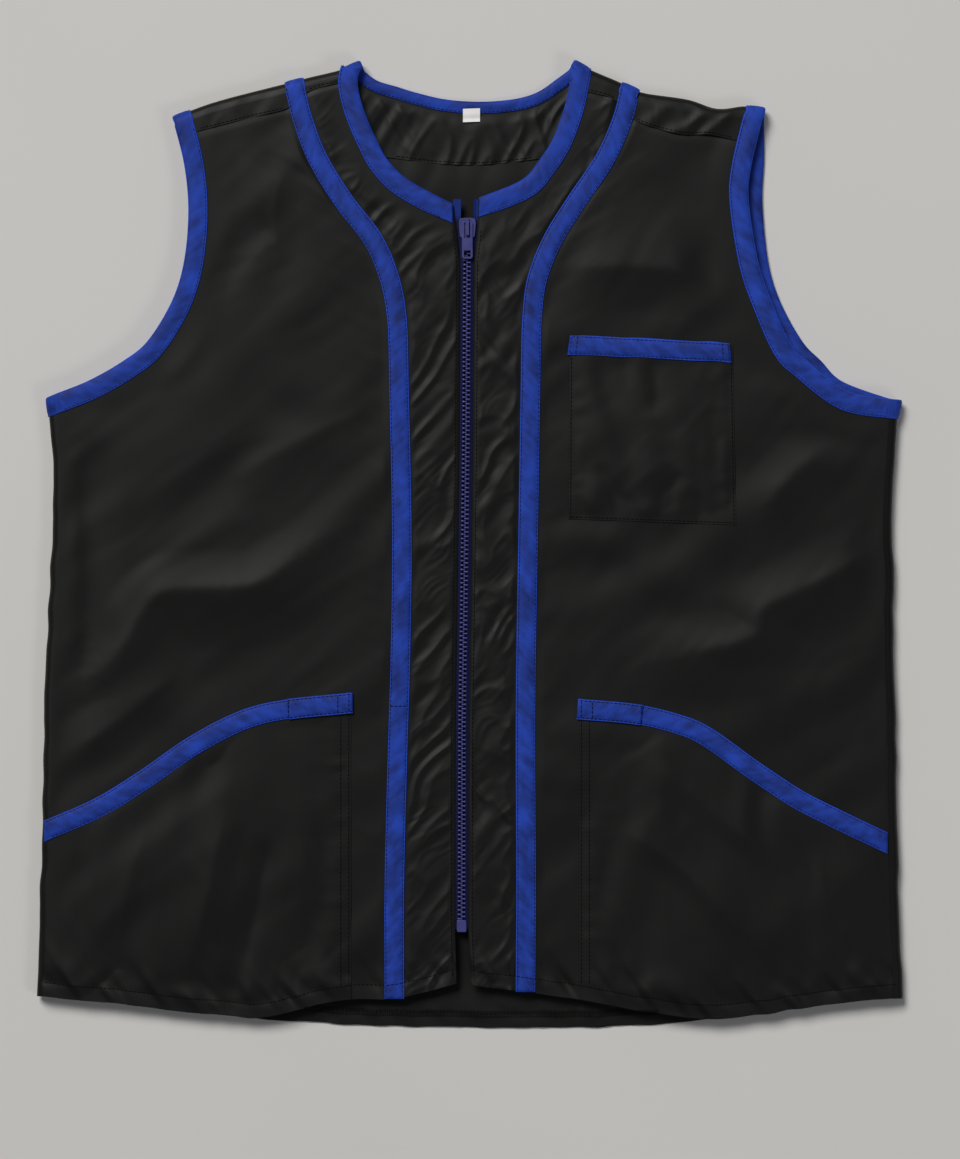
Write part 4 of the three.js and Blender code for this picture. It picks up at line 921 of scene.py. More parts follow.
def woven_zip_tape(paint, colour):
    """Close ribbed weave of the zip's tape, its colour darkened as painted shade beside the teeth, much
    lighter on its cord under the teeth, nearer its own blue, and like the other tape at its top end.
    """
    u, v = paint.places()
    weave = ribs(v, ZIP_TAPE_RIBS) * 0.6 + ribs(u, ZIP_TAPE_THREADS) * 0.4
    patches = paint.spread(u, v, 160.0)
    woven = paint.tones(weave * 0.25 + patches * 0.75, colour, 0.6, 1.4)
    # Painted shade: the tape's own blue is darkened far down for the shadow it lies in beside the teeth; on
    # the cord under the teeth it is lifted back towards its own blue
    woven = paint.shade(paint.above(ZIP_Z + 0.75, 0.5), woven, toned(colour, 6.0))
    top_end = (v - ZIP_TAPE_FULL_TO * MM) * (1 / (ZIP_TAPE_END_FADE * MM))
    paint.set(base_color=paint.shade(top_end, woven, toned(bpy.context.scene.vest_colours.tape, 0.6)))
    paint.set(roughness=0.62 + patches * 0.16)
    paint.set(normal=paint.bump(weave, 0.0001, 0.6))
    paint.set(specular_ior_level=0.2)


def moulded_plastic(paint, colour):
    """Moulded plastic with a faint grain, paler on top as a painted highlight and darker low down between
    the teeth as painted shade.
    """
    grain = paint.noise("3D", paint.position(), 900.0, 3.0)
    patches = paint.noise("3D", paint.position(), 140.0)
    painted_highlight_tone = paint.tones(patches * 0.7 + grain * 0.3, colour, 0.75, 1.3)
    # Painted light: the colour runs by height from a dark tone low down, painted shade between and under the
    # teeth, to a pale tone above, a painted highlight on the tooth tops and over the slider, pull tab and
    # box
    paint.set(base_color=paint.shade(paint.above(ZIP_Z + 0.7, 0.7), toned(colour, 0.5), painted_highlight_tone))
    paint.set(roughness=0.24 + patches * 0.2)
    paint.set(normal=paint.bump(grain, 0.00004, 0.3))


def woven_label(paint, colour):
    """White woven label with fine ribs and a slightly greyed surface."""
    u, v = paint.places()
    patches = paint.spread(u, v, 260.0)
    paint.set(base_color=paint.tones(patches, colour, 0.95, 1.03))
    paint.set(roughness=0.6 + patches * 0.15)
    paint.set(normal=paint.bump(ribs(v, LABEL_RIBS), 0.00003, 0.15))


def spun_thread(paint, colour):
    """Twisted sewing thread."""
    fibres = paint.noise("3D", paint.position(), 2400.0)
    paint.set(base_color=paint.tones(fibres, colour, 0.7, 1.3))
    paint.set(roughness=0.5 + fibres * 0.2)
    paint.set(normal=paint.bump(fibres, 0.00005, 0.5))
    paint.set(specular_ior_level=0.1)


Finish = namedtuple("Finish", "slot colour make")
FINISHES = {
    "cloth": Finish("cloth", "cloth", black_cloth),
    "tape": Finish("tape", "tape", blue_tape),
    "zip_tape": Finish("zip_tape", "zip_tape", woven_zip_tape),
    "zip_plastic": Finish("zip_plastic", "zip_plastic", moulded_plastic),
    "label": Finish("label", "label", woven_label),
    "black_thread": Finish("cloth", "black_thread", spun_thread),
    "blue_thread": Finish("tape", "blue_thread", spun_thread),
}


def finish_of(name):
    """The material of that name, made at its first use."""
    made = bpy.data.materials.get(f"{name} finish")
    if made is None:
        paint = Paint(f"{name} finish")
        colour = getattr(bpy.context.scene.vest_colours, FINISHES[name].colour)
        FINISHES[name].make(paint, colour)
        made = paint.material
    return made


# Front panels

LOWER_UNITS = 11
CHEST_UNITS = 5
UPPER_UNITS = 6
TOP_UNIT = LOWER_UNITS + CHEST_UNITS + UPPER_UNITS
ROW_KNOTS = (0, LOWER_UNITS, LOWER_UNITS + CHEST_UNITS, TOP_UNIT)
STRIPE_AT_UNDERARM = 78.0
STRIPE_AT_NECK = 190.0
STRIPE_AT_SEAM = 289.0
HEM_BEND_POWER = 3
SEAM_BEND_POWER = 8
EDGE_DROP = 0.8
EDGE_DROP_WIDTH = 2.2
SIDE_COLUMNS = 92
CENTRE_COLUMNS = 41
SIDE_SEAM_ROLL = np.linspace(-12, 80, 10)
FRONT_UNDER_YOKE_FROM = (-3.5, 0.5)


def rows_of_panel(lower, upper):
    """Rows from hem to shoulder, with so many in each unit of the lower and of the upper part."""
    return np.concatenate([
        np.linspace(0, LOWER_UNITS, LOWER_UNITS * lower, endpoint=False),
        np.linspace(LOWER_UNITS, TOP_UNIT, (TOP_UNIT - LOWER_UNITS) * upper + 1),
    ])


SIDE_ROWS = rows_of_panel(15, 9)
CENTRE_ROWS = rows_of_panel(30, 18)
armhole_top = {side: armhole_front[side].where_y(SHOULDER_SEAM[side][0][1]) for side in SIDES}
neck_top = {side: neck_front[side].where_y(SHOULDER_SEAM[side][-1][1]) for side in SIDES}


def stripe_row_heights(side, seam, rows):
    hem = hem_at_stripe(side)
    top = seam(side, stripe_x[side](STRIPE_AT_SEAM)) + SEAM_LAP
    return np.interp(rows, ROW_KNOTS, (hem, STRIPE_AT_UNDERARM, STRIPE_AT_NECK, top))


def panel_places(side, seam, rows, start, end, shares):
    """Rows of a panel between two edges, bent to the hem below and to the shoulder seam above."""
    up = (rows / TOP_UNIT)[:, None]
    x = lerp(start[:, :1], end[:, :1], shares)
    straight = lerp(start[:, 1:], end[:, 1:], shares)
    hem_bend = hem_y[side](x) - lerp(hem_y[side](start[:, :1]), hem_y[side](end[:, :1]), shares)
    seam_bend = seam(side, x) - lerp(seam(side, start[:, :1]), seam(side, end[:, :1]), shares)
    return x, straight + hem_bend * (1 - up) ** HEM_BEND_POWER + seam_bend * up**SEAM_BEND_POWER


def under_yoke(side, seam, x, y):
    """A front panel slips under the yoke's edge at the shoulder seam."""
    return -FRONT_UNDER_YOKE * smooth(y - seam(side, x), *FRONT_UNDER_YOKE_FROM)


def front_side(side):
    """Side front panel, from the side seam or armhole to the middle of the stripe."""
    name = f"front_side_{side}"
    stripe_rows = stripe_row_heights(side, side_seam_y, SIDE_ROWS)
    inner = plan(stripe_x[side](stripe_rows), stripe_rows)
    hem = hem_y[side](fold_x[side](SIDE_FOLD["y"][0]))
    side_rows = lerp(hem, UNDERARM_Y[side] - EDGE_INSET, np.clip(SIDE_ROWS / LOWER_UNITS, 0, 1))
    tucked = np.maximum(WRAP[side] - WRAP_TUCK, fold_radius(side, side_rows))
    seam = plan(fold_x[side](side_rows) - SIGN[side] * tucked, side_rows)
    armhole_share = (SIDE_ROWS - LOWER_UNITS) / (TOP_UNIT - LOWER_UNITS) * armhole_top[side]
    arm = armhole_front[side].beside(np.clip(armhole_share, 0, 1), ARMHOLE_CLOTH[side], EDGE_INSET)
    outer = np.where((SIDE_ROWS <= LOWER_UNITS)[:, None], seam, arm)
    outer[-1, 1] = side_seam_y(side, outer[-1, 0]) + SEAM_LAP
    shares = np.linspace(0, 1, SIDE_COLUMNS + 1)
    x, y = panel_places(side, side_seam_y, SIDE_ROWS, outer, inner, shares)
    z = front_height(side, x, y) + front_detail(name, side, x, y) + under_yoke(side, side_seam_y, x, y)
    lattice = solid_points(x, y, z)
    keep = all_cells(lattice)
    if WRAP[side] == 0:
        roll = side_roll(side, side_rows, SIDE_SEAM_ROLL)
        lattice = np.concatenate([roll, lattice], axis=1)
        below_arm = (SIDE_ROWS[:-1] < LOWER_UNITS)[:, None]
        keep = np.concatenate([np.repeat(below_arm, roll.shape[1], axis=1), keep], axis=1)
    cloth_piece(name, lattice, keep)


def front_centre(side):
    """Centre front panel, from the stripe to the zip and the neckline, its edge turned down at the zip."""
    name = f"front_centre_{side}"
    edge_units = LOWER_UNITS + CHEST_UNITS
    stripe_rows = stripe_row_heights(side, seam_y, CENTRE_ROWS)
    outer = plan(stripe_x[side](stripe_rows), stripe_rows)
    neck_start = neck_front[side].at(np.array(0.0))[1] - EDGE_INSET
    hem = hem_y[side](edge_x(side, FRONT_EDGE["y"][0]))
    edge_rows = lerp(hem, neck_start, np.clip(CENTRE_ROWS / edge_units, 0, 1))
    neck_share = np.clip((CENTRE_ROWS - edge_units) / UPPER_UNITS * neck_top[side], 0, 1)
    neck = neck_front[side].beside(neck_share, NECK_CLOTH[side], EDGE_INSET)
    below = (CENTRE_ROWS <= edge_units)[:, None]
    inner = np.where(below, plan(edge_x(side, edge_rows), edge_rows), neck)
    inner[-1, 1] = seam_y(side, inner[-1, 0]) + SEAM_LAP
    shares = np.linspace(0, 1, CENTRE_COLUMNS + 1)
    x, y = panel_places(side, seam_y, CENTRE_ROWS, outer, inner, shares)
    from_edge = np.where(y < neck_start, np.abs(x - edge_x(side, y)), EDGE_DROP_WIDTH)
    turned = -EDGE_DROP * (1 - np.clip(from_edge / EDGE_DROP_WIDTH, 0, 1)) ** 2
    z = front_height(side, x, y) + front_detail(name, side, x, y) + turned
    cloth_piece(name, solid_points(x, y, z + under_yoke(side, seam_y, x, y)))


# Back

BACK_HEM_ROWS = 18
BACK_HEM_SHARE = 0.07
BACK_LOWER_ROWS = 90
BACK_UPPER_ROWS = 40
BACK_COLUMNS = 160
BACK_SEAM_ROLL = np.linspace(2, -80, 9)
BACK_WRAP_ROLL = np.linspace(90, -80, 16)
BACK_WRAP_COLUMNS = 3
BACK_UNDER_YOKE_FROM = (-8, 0.5)
BACK_GROW_FROM_BINDING = (12, 30)
BACK_GROW_FROM_SIDE = (0, 20)
back_seam_share = {
    side: armhole_back[side].where_y(yoke_seam_y(ARMHOLE_BACK[side][-1][0])) for side in SIDES
}


def back_panel():
    """Back from hem to yoke seam, wrapped round both side folds below the underarms."""
    shares = np.linspace(0, 1, BACK_COLUMNS + 1)
    hem_rows = np.linspace(0, BACK_HEM_SHARE, BACK_HEM_ROWS)
    up = np.concatenate([hem_rows, np.linspace(BACK_HEM_SHARE, 1, BACK_LOWER_ROWS)[1:-1]])
    over = np.linspace(0, 1, BACK_UPPER_ROWS + 1)
    side_y, flat_end, rolls = {}, {}, {}
    for side in SIDES:
        hem = hem_back_y(fold_x[side](SIDE_FOLD["y"][0]))
        y = lerp(hem, UNDERARM_Y[side] - EDGE_INSET, np.concatenate([up, np.ones_like(over)]))
        fold, radius = fold_x[side](y), fold_radius(side, y)
        if WRAP[side] == 0:
            rolls[side] = side_roll(side, y, BACK_SEAM_ROLL)
        else:
            wrap = np.linspace(WRAP[side], radius.max(), BACK_WRAP_COLUMNS, endpoint=False)
            flat = solid_points(fold[:, None] - SIGN[side] * wrap, y[:, None], FRONT_Z + PROUD)
            rolls[side] = np.concatenate([flat, side_roll(side, y, BACK_WRAP_ROLL)], axis=1)
        arm = armhole_back[side].beside(back_seam_share[side] * over, ARMHOLE_CLOTH[side], EDGE_INSET)
        side_y[side] = np.concatenate([y[: len(up)], arm[:, 1]])[:, None]
        flat_end[side] = np.concatenate([(fold - SIGN[side] * radius)[: len(up)], arm[:, 0]])[:, None]
    start, end = flat_end["right"], flat_end["left"]
    x = lerp(start, end, shares)
    hem_bend = hem_back_y(x) - lerp(hem_back_y(start), hem_back_y(end), shares)
    seam_bend = yoke_seam_y(x) - lerp(yoke_seam_y(start), yoke_seam_y(end), shares) + SEAM_LAP
    below = np.concatenate([1 - up, np.zeros_like(over)])[:, None] ** HEM_BEND_POWER
    above = np.concatenate([np.zeros_like(up), over])[:, None] ** HEM_BEND_POWER
    y = lerp(side_y["right"], side_y["left"], shares) + hem_bend * below + seam_bend * above
    under = -BACK_UNDER_YOKE * smooth(y - yoke_seam_y(x), *BACK_UNDER_YOKE_FROM)
    still = smooth(nearest(BACK_EDGES, x, y), *BACK_GROW_FROM_BINDING)
    for side_end in (start, end):
        still = still * smooth(np.abs(x - side_end), *BACK_GROW_FROM_SIDE)
    puckers = hem_puckers(BACK_PUCKERS, x, y - hem_back_y(x))
    lift = (np.abs(creases("back_panel", x, y)) + np.abs(puckers)) * still
    middle = solid_points(x, y, back_height(x, y) + lift + under)
    lattice = np.concatenate([rolls["right"], middle, rolls["left"][:, ::-1]], axis=1)
    keep = all_cells(lattice)
    keep[len(up):, : rolls["right"].shape[1]] = False
    keep[len(up):, -rolls["left"].shape[1]:] = False
    cloth_piece("back_panel", lattice, keep)


YOKE_BACK_ROWS = 40
YOKE_FRONT_ROWS = 10
WING_COLUMNS = 64
WING_END_SHARE = 0.06
NECK_COLUMNS = 110
YOKE_NECK_X = {"right": -72.0, "left": 70.0}
YOKE_GROW = (9, 26)
YOKE_GROW_INSIDE = (8, 16)
YOKE_CALM_ROWS = 5
YOKE_LOFT_INSIDE = 0.35
YOKE_CREASES_OUTSIDE = 0.5
YOKE_FOLDS_ABOVE = 8.0
yoke_angles = np.linspace(-90, 90, 15)


def shoulder_frame(side, shares):
    """Fold points, the way they run to the neck, and the way the fold faces."""
    along = shoulder_fold[side].tangent(shares)
    outward = SIGN[side] * plan(along[:, 1], -along[:, 0])
    flat = np.zeros((len(shares), 1))
    return shoulder_fold[side].at(shares), np.hstack([along, flat]), np.hstack([outward, flat])


def yoke_wing(side):
    """One shoulder of the yoke: columns from the armhole to the neck, each from back seam to front seam."""
    shares = np.linspace(0, 1, WING_COLUMNS + 1)
    fold, along, outward = shoulder_frame(side, shares)
    by_end = 1 - smooth(np.minimum(shares, 1 - shares), 0, WING_END_SHARE)
    apex = fold + along[:, :2] * (np.where(shares < 0.5, 1, -1) * by_end * EDGE_INSET)[:, None]
    seam = shoulder_seam[side].at(shares)
    seam[0] = armhole_front[side].beside(np.array(armhole_top[side]), ARMHOLE_CLOTH[side], EDGE_INSET)
    seam[-1] = neck_front[side].beside(np.array(neck_top[side]), NECK_CLOTH[side], EDGE_INSET)
    back_shares = np.linspace(0, 1, YOKE_BACK_ROWS, endpoint=False)
    arm_shares = lerp(back_seam_share[side], 1, back_shares)
    arm_edge = armhole_back[side].beside(arm_shares, ARMHOLE_CLOTH[side], EDGE_INSET)
    to_neck = (fold[:, 0] - fold[0, 0]) / (fold[-1, 0] - fold[0, 0])
    low_x = lerp(arm_edge[0, 0], YOKE_NECK_X[side], to_neck)
    low = solid_points(low_x, yoke_seam_y(low_x), EDGE_BACK_Z)
    front_shares = np.linspace(0, 1, YOKE_FRONT_ROWS + 1)[1:, None]
    lattice = []
    for column in range(len(shares)):
        roll = rolled(apex[column], outward[column], EDGE_BACK_Z, yoke_angles)[0]
        back = lerp(low[column], roll[0], back_shares[:, None])
        if column == 0:
            back[1:, :2] = arm_edge[1:]
        front_xy = lerp(roll[-1][:2], seam[column], front_shares)
        front = raised(front_xy, FRONT_Z + PROUD)
        lattice.append(np.concatenate([back, roll, front]))
    return np.array(lattice)


def back_yoke():
    """Yoke: a wing over each shoulder fold, joined below the back neckline."""
    wings = {side: yoke_wing(side) for side in SIDES}
    t = np.linspace(0, 1, NECK_COLUMNS + 1)[1:-1]
    edge = neck_back.beside(t, 1, EDGE_INSET)
    low_x = lerp(YOKE_NECK_X["right"], YOKE_NECK_X["left"], t)
    low = solid_points(low_x, yoke_seam_y(low_x), EDGE_BACK_Z)
    high = raised(edge, EDGE_BACK_Z)
    back = lerp(low[:, None], high[:, None], np.linspace(0, 1, YOKE_BACK_ROWS + 1)[:, None])
    rows = wings["right"].shape[1]
    middle = back[:, np.minimum(np.arange(rows), YOKE_BACK_ROWS)]
    lattice = np.concatenate([wings["right"], middle, wings["left"][::-1]]).transpose(1, 0, 2)
    x, y = lattice[..., 0], lattice[..., 1]
    back_edges = np.concatenate([BACK_EDGES, neck_back.at(outline_shares)])
    still = smooth(nearest(np.concatenate([FRONT_EDGES, back_edges]), x, y), *YOKE_GROW)
    below_fold = smooth(YOKE_BACK_ROWS - np.arange(rows), 0, YOKE_CALM_ROWS)[:, None]
    still_inside = smooth(nearest(back_edges, x, y), *YOKE_GROW_INSIDE) * below_fold
    inside = (np.arange(rows) <= YOKE_BACK_ROWS)[:, None]
    small = creases("back_yoke", x, y)
    inner_loft = (small + YOKE_LOFT_INSIDE) * still_inside
    lattice[..., 2] += np.where(inside, inner_loft, YOKE_CREASES_OUTSIDE * small * still)
    on_front = smooth(lattice[..., 2], YOKE_FOLDS_ABOVE, FRONT_Z) * np.where(inside, 0, 1)
    lattice[..., 2] += on_front * still * fold_height(YOKE_FOLDS, x, y)
    keep = all_cells(lattice)
    keep[YOKE_BACK_ROWS:, WING_COLUMNS : WING_COLUMNS + NECK_COLUMNS] = False
    cloth_piece("back_yoke", lattice, keep)


# Bindings: tape folded round the edges


def binding_section(inner_leg):
    """Folded tape: (across, out) round a cloth edge, its front leg the width of the tape."""
    flank = ((0.97, 0.3), (1.0, 0.6), (0.97, 1.2), (0.9, 1.0), (0.77, 1.42), (0.4, 1.7))
    turn = ((1.8, 1.62), (0.7, 1.25), (0.15, 0.6))
    front = [*((TAPE_WIDTH * share, out) for share, out in flank), *turn]
    back = [*((inner_leg * share, -out) for share, out in flank), *((across, -out) for across, out in turn)]
    return np.array([*front, *back[::-1], (1.0, -0.28), (1.0, 0.28)])


def flat_stations(line, shares, cloth, height, face):
    """Stations along a flat edge; face is 1 for tape on the front and -1 for tape on the back."""
    point = line.at(shares)
    inward = line.beside(shares, cloth, 1.0) - point
    return raised(point, height), raised(inward, 0.0), face * upward(len(shares))


def joined(*runs):
    return [np.concatenate(parts) for parts in zip(*runs)]


def eased(vectors, reach, closed):
    """Directions averaged along the stations, so that the tape turns without a kink."""
    kernel = np.hanning(2 * reach + 3)[1:-1]
    kernel = kernel / kernel.sum()
    mode = "wrap" if closed else "edge"
    padded = np.pad(vectors, ((reach, reach), (0, 0)), mode=mode)
    return unit(np.stack([np.convolve(padded[:, i], kernel, "valid") for i in range(3)], -1))


def over_fold(apex, outward, inward, angles):
    point, normal = rolled(apex, outward, EDGE_BACK_Z, angles)
    return point, np.broadcast_to(inward, point.shape), normal


FOLD_OVER = np.linspace(85, -85, 15)
UNDERARM_TURN = np.linspace(-80, 80, 15)
ARMHOLE_SHARES = np.linspace(0.025, 0.985, 150)
ARMHOLE_EASE = 9
NECK_FRONT_SHARES = np.linspace(0, 0.985, 90)
NECK_BACK_SHARES = np.linspace(0.02, 0.98, 80)
NECK_EASE = 4
NECK_SQUARE_FADE = (1, 9)


def armhole_binding(side):
    """Up the front, over the shoulder, down the back and round the side fold."""
    cloth = ARMHOLE_CLOTH[side]
    fold, along, outward = shoulder_frame(side, np.array([0.0]))
    high = UNDERARM_Y[side]
    apex = np.array([fold_x[side](high), high])
    below = np.array([fold_x[side](high - TAPE_WIDTH), high - TAPE_WIDTH])
    down = np.append(unit(below - apex), 0)
    under_arm = over_fold(apex, np.array([SIGN[side], 0, 0]), down, UNDERARM_TURN)
    rise = ARMHOLE_FRONT[side][0][1] - high
    under_arm[0][:, 1] += rise * (1 - np.cos(np.radians(UNDERARM_TURN)))
    stations = joined(
        flat_stations(armhole_front[side], ARMHOLE_SHARES, cloth, FRONT_Z, 1),
        over_fold(fold[0], outward[0], along[0], FOLD_OVER),
        flat_stations(armhole_back[side], ARMHOLE_SHARES[::-1], cloth, EDGE_BACK_Z, -1),
        under_arm,
    )
    stations[1] = eased(stations[1], ARMHOLE_EASE, True)
    section = binding_section(ARMHOLE_INNER_LEG)
    swept_piece(f"armhole_binding_{side}", stations, section, closed=True)


def backwards(run):
    return [part[::-1] for part in run]


def neck_binding():
    """Up one front from the zip, over the shoulder, across the back and down the other front."""
    front, over = {}, {}
    for side in SIDES:
        front[side] = flat_stations(neck_front[side], NECK_FRONT_SHARES, NECK_CLOTH[side], FRONT_Z, 1)
        fold, along, outward = shoulder_frame(side, np.array([1.0]))
        over[side] = over_fold(fold[0], outward[0], -along[0], FOLD_OVER)
    back = flat_stations(neck_back, NECK_BACK_SHARES, 1, EDGE_BACK_Z, -1)
    stations = joined(front["right"], over["right"], back, backwards(over["left"]), backwards(front["left"]))
    stations[1] = eased(stations[1], NECK_EASE, False)
    by_zip = 1 - smooth(np.arange(len(stations[1])), *NECK_SQUARE_FADE)
    by_zip = np.maximum(by_zip, by_zip[::-1])[:, None]
    stations[1] = unit(lerp(stations[1], np.array([0.0, -1.0, 0.0]), by_zip))
    section = binding_section(NECK_INNER_LEG)
    swept_piece("neck_binding", stations, section)


# Stripes, pockets and their tapes


def strip_section(width, bottom, top):
    """Flat folded tape, full in the middle and drawn down along its two stitched edges."""
    half = width / 2
    rise = top - bottom
    upper = [(1.0, 0.0), (0.99, 0.5), (0.95, 0.84), (0.87, 0.62), (0.75, 0.86), (0.4, 1.0)]
    right = [(half * share, bottom + rise * lift) for share, lift in upper]
    left = [(-across, out) for across, out in right]
    return np.array([*right, (0.0, top), *left[::-1], (0.0, bottom - STRIP_SAG)])


STRIP_SAG = 0.1
STRIPE_BOTTOM = 0.3
STRIPE_TOP = 1.7
STRIPE_BACK_SHIFT = 8.0
STRIPE_JOIN = -105.5
STRIPE_FRONT_STATIONS = 260
STRIPE_BACK_STATIONS = 15
STRIPE_FOLD = np.linspace(90, -90, 17)
STRIPE_EASE = 5


def front_stripe(side):
    """From the hem up the seam, over the shoulder fold and down to the yoke seam."""
    fold_at = dict(zip(SHOULDER_POINTS, np.array(SHOULDER_FOLD[side])))
    outer, inner = fold_at["stripe_out"], fold_at["stripe_in"]
    middle = (outer + inner) / 2
    along = unit(inner - outer)
    outward = SIGN[side] * np.array([along[1], -along[0], 0.0])
    radius = (FRONT_Z - EDGE_BACK_Z) / 2
    start = middle - outward[:2] * radius
    y = np.linspace(hem_at_stripe(side), start[1], STRIPE_FRONT_STATIONS)[:-1]
    x = stripe_x[side](y)
    across = unit(solid_points(1.0, -np.gradient(x, y), 0.0)) * -SIGN[side]
    front = solid_points(x, y, front_height(side, x, y)), across, upward(len(y))
    fold = over_fold(middle, outward, np.append(along, 0), STRIPE_FOLD)
    end_x = middle[0] - SIGN[side] * STRIPE_BACK_SHIFT
    end = np.array([end_x, yoke_seam_y(end_x), EDGE_BACK_Z])
    back_shares = np.linspace(0, 1, STRIPE_BACK_STATIONS + 1)[1:, None]
    back_point = lerp(fold[0][-1], end, back_shares)
    back = back_point, np.broadcast_to(fold[1][0], back_point.shape), -upward(len(back_point))
    stations = joined(front, fold, back)
    stations[1] = eased(stations[1], STRIPE_EASE, False)
    section = strip_section(TAPE_WIDTH, STRIPE_BOTTOM, STRIPE_TOP)
    swept_piece(f"front_stripe_{side}", stations, section)


MOUTH_STATIONS = 90
TAB_STATIONS = 24
MOUTH_CUT_REACH = 16.0
POCKET_COLUMNS = 109
POCKET_ROWS = 129
POCKET_INSET = 0.3
POCKET_RISE_SHARE = 0.06
CHEST_COLUMNS = 55
CHEST_ROWS = 59
CHEST_FLAT_FROM = 0.88
CHEST_RISE_SHARE = 0.08
CHEST_TAPE_STATIONS = 60
CHEST_TAPE_WAVES = Waves(0.4, 1 / 9, 85)

# Shares of a pocket's width and height over which its creases start at the sides, the foot and the tape
Still = namedtuple("Still", "side low top")
POCKET_STILL = Still(0.1, 0.08, (0.02, 0.14))
CHEST_STILL = Still(0.12, 0.1, (0.04, 0.16))


def pocket_outer_x(side, y):
    return fold_x[side](y) - SIGN[side] * POCKET_FROM_FOLD[side]


def pocket_side_x(side):
    return pocket_outer_x(side, mouth_y[side](fold_x[side](POCKET_SIDE_Y)))


def from_sides(u):
    return np.minimum(u, 1 - u)


def creased_share(still, u, v):
    """How much of its creases a pocket shows: none at its stitched edges, all in its middle."""
    return smooth(from_sides(u), 0, still.side) * smooth(v, 0, still.low) * smooth(1 - v, *still.top)


def mouth_stations(side, start, end, count, height):
    """Stations along the middle of a pocket mouth's tape, which is cut along the side seam."""
    x = np.linspace(start, end, count)
    y = mouth_y[side](x)
    slope = np.gradient(y, x)
    down = unit(solid_points(slope, -1.0, 0.0))
    at_seam = 1 - smooth(np.abs(x - pocket_side_x(side)), 0, MOUTH_CUT_REACH)[:, None]
    upright = solid_points(0.0, -np.hypot(1, slope), 0.0)
    down = lerp(down, upright, at_seam)
    point = solid_points(x, y, front_height(side, x, y) + height) + down * (TAPE_WIDTH / 2)
    return point, down, upward(count)


def lower_pocket(side):
    """Large hip pocket with a slanting mouth, full in the middle and gathered to the hem."""
    u = np.linspace(0, 1, POCKET_COLUMNS + 1)
    v = np.linspace(0, 1, POCKET_ROWS + 1)[:, None]
    top_x = lerp(pocket_side_x(side), POCKET_INNER[side], u)
    low_x = lerp(pocket_outer_x(side, SIDE_FOLD["y"][0]), POCKET_INNER[side], u)
    top = mouth_y[side](top_x) - POCKET_INSET
    bottom = hem_y[side](low_x) + POCKET_INSET
    x = lerp(low_x, top_x, v)
    y = lerp(bottom, top, v)
    up = np.clip((y - bottom) / (top - POCKET_FLAT - bottom), 0, 1)
    slack = np.sin(math.pi * u) * np.sin(math.pi * up)
    own = slack * (POCKET_SLACK + fold_height(POCKET_FOLDS, x, y))
    gathers = gathered(POCKET_GATHERS[side], (y - bottom - HEM_DEPTH).clip(0), x)
    side_pull = gathered(POCKET_SIDE_PULL[side], np.abs(x - POCKET_INNER[side]), y)
    small = creased_share(POCKET_STILL, u, v) * creases("lower_pocket", x, y)
    detail = small + gathers + side_pull + hem_form(side, x, y)
    base = front_height(side, x, y)
    panel = base + front_detail(f"front_side_{side}", side, x, y)
    loft = POCKET_CLEAR + POCKET_LOFT * smooth(from_sides(u), 0, POCKET_RISE_SHARE)
    z = np.maximum(base + loft + own + detail, panel + POCKET_CLEAR)
    cloth_piece(f"lower_pocket_{side}", solid_points(x, y, z))


def lower_pocket_tapes(side):
    """Tape along a slanting mouth, and the short doubled tab at its inner end."""
    inner = POCKET_INNER[side]
    tape = mouth_stations(side, pocket_side_x(side), inner, MOUTH_STATIONS, MOUTH_TAPE_Z)
    section = strip_section(TAPE_WIDTH, 0.0, MOUTH_TAPE_RISE)
    swept_piece(f"lower_pocket_tape_{side}", tape, section)
    start, end = inner + SIGN[side] * TAB_LENGTH, inner - SIGN[side] * TAB_PAST_END
    tab = mouth_stations(side, start, end, TAB_STATIONS, TAB_Z)
    swept_piece(f"lower_pocket_tab_{side}", tab, strip_section(TAB_WIDTH, 0.0, TAB_RISE))


def between(corners, u, v):
    """Places inside four corners, u from right to left and v from low to top."""
    u, v = (np.asarray(share, float)[..., None] for share in (u, v))
    low, top = (lerp(*np.array(corners[edge]), u) for edge in ("low", "top"))
    return lerp(low, top, v)


def chest_pocket():
    """Patch pocket on the left chest."""
    u = np.linspace(0, 1, CHEST_COLUMNS + 1)
    v = np.linspace(0, 1, CHEST_ROWS + 1)[:, None]
    x, y = np.moveaxis(between(CHEST_POCKET, u, v), -1, 0)
    slack = CHEST_SLACK * np.sin(math.pi * u) * np.sin(math.pi * np.clip(v / CHEST_FLAT_FROM, 0, 1))
    gathers = gathered(CHEST_GATHERS, (y - y[0]).clip(0), x)
    side_pull = gathered(CHEST_SIDE_PULL, np.minimum(x - x.min(), x.max() - x), y)
    small = creased_share(CHEST_STILL, u, v) * creases("chest_pocket", x, y)
    detail = small + gathers + side_pull + fold_height(CHEST_FOLDS, x, y)
    base = front_height("left", x, y)
    panel = base + front_detail("front_side_left", "left", x, y)
    rise = smooth(from_sides(u), 0, CHEST_RISE_SHARE) * smooth(v, 0, CHEST_RISE_SHARE)
    loft = POCKET_CLEAR + POCKET_LOFT * rise
    z = np.maximum(base + loft + slack + detail, panel + POCKET_CLEAR)
    cloth_piece("chest_pocket", solid_points(x, y, z))


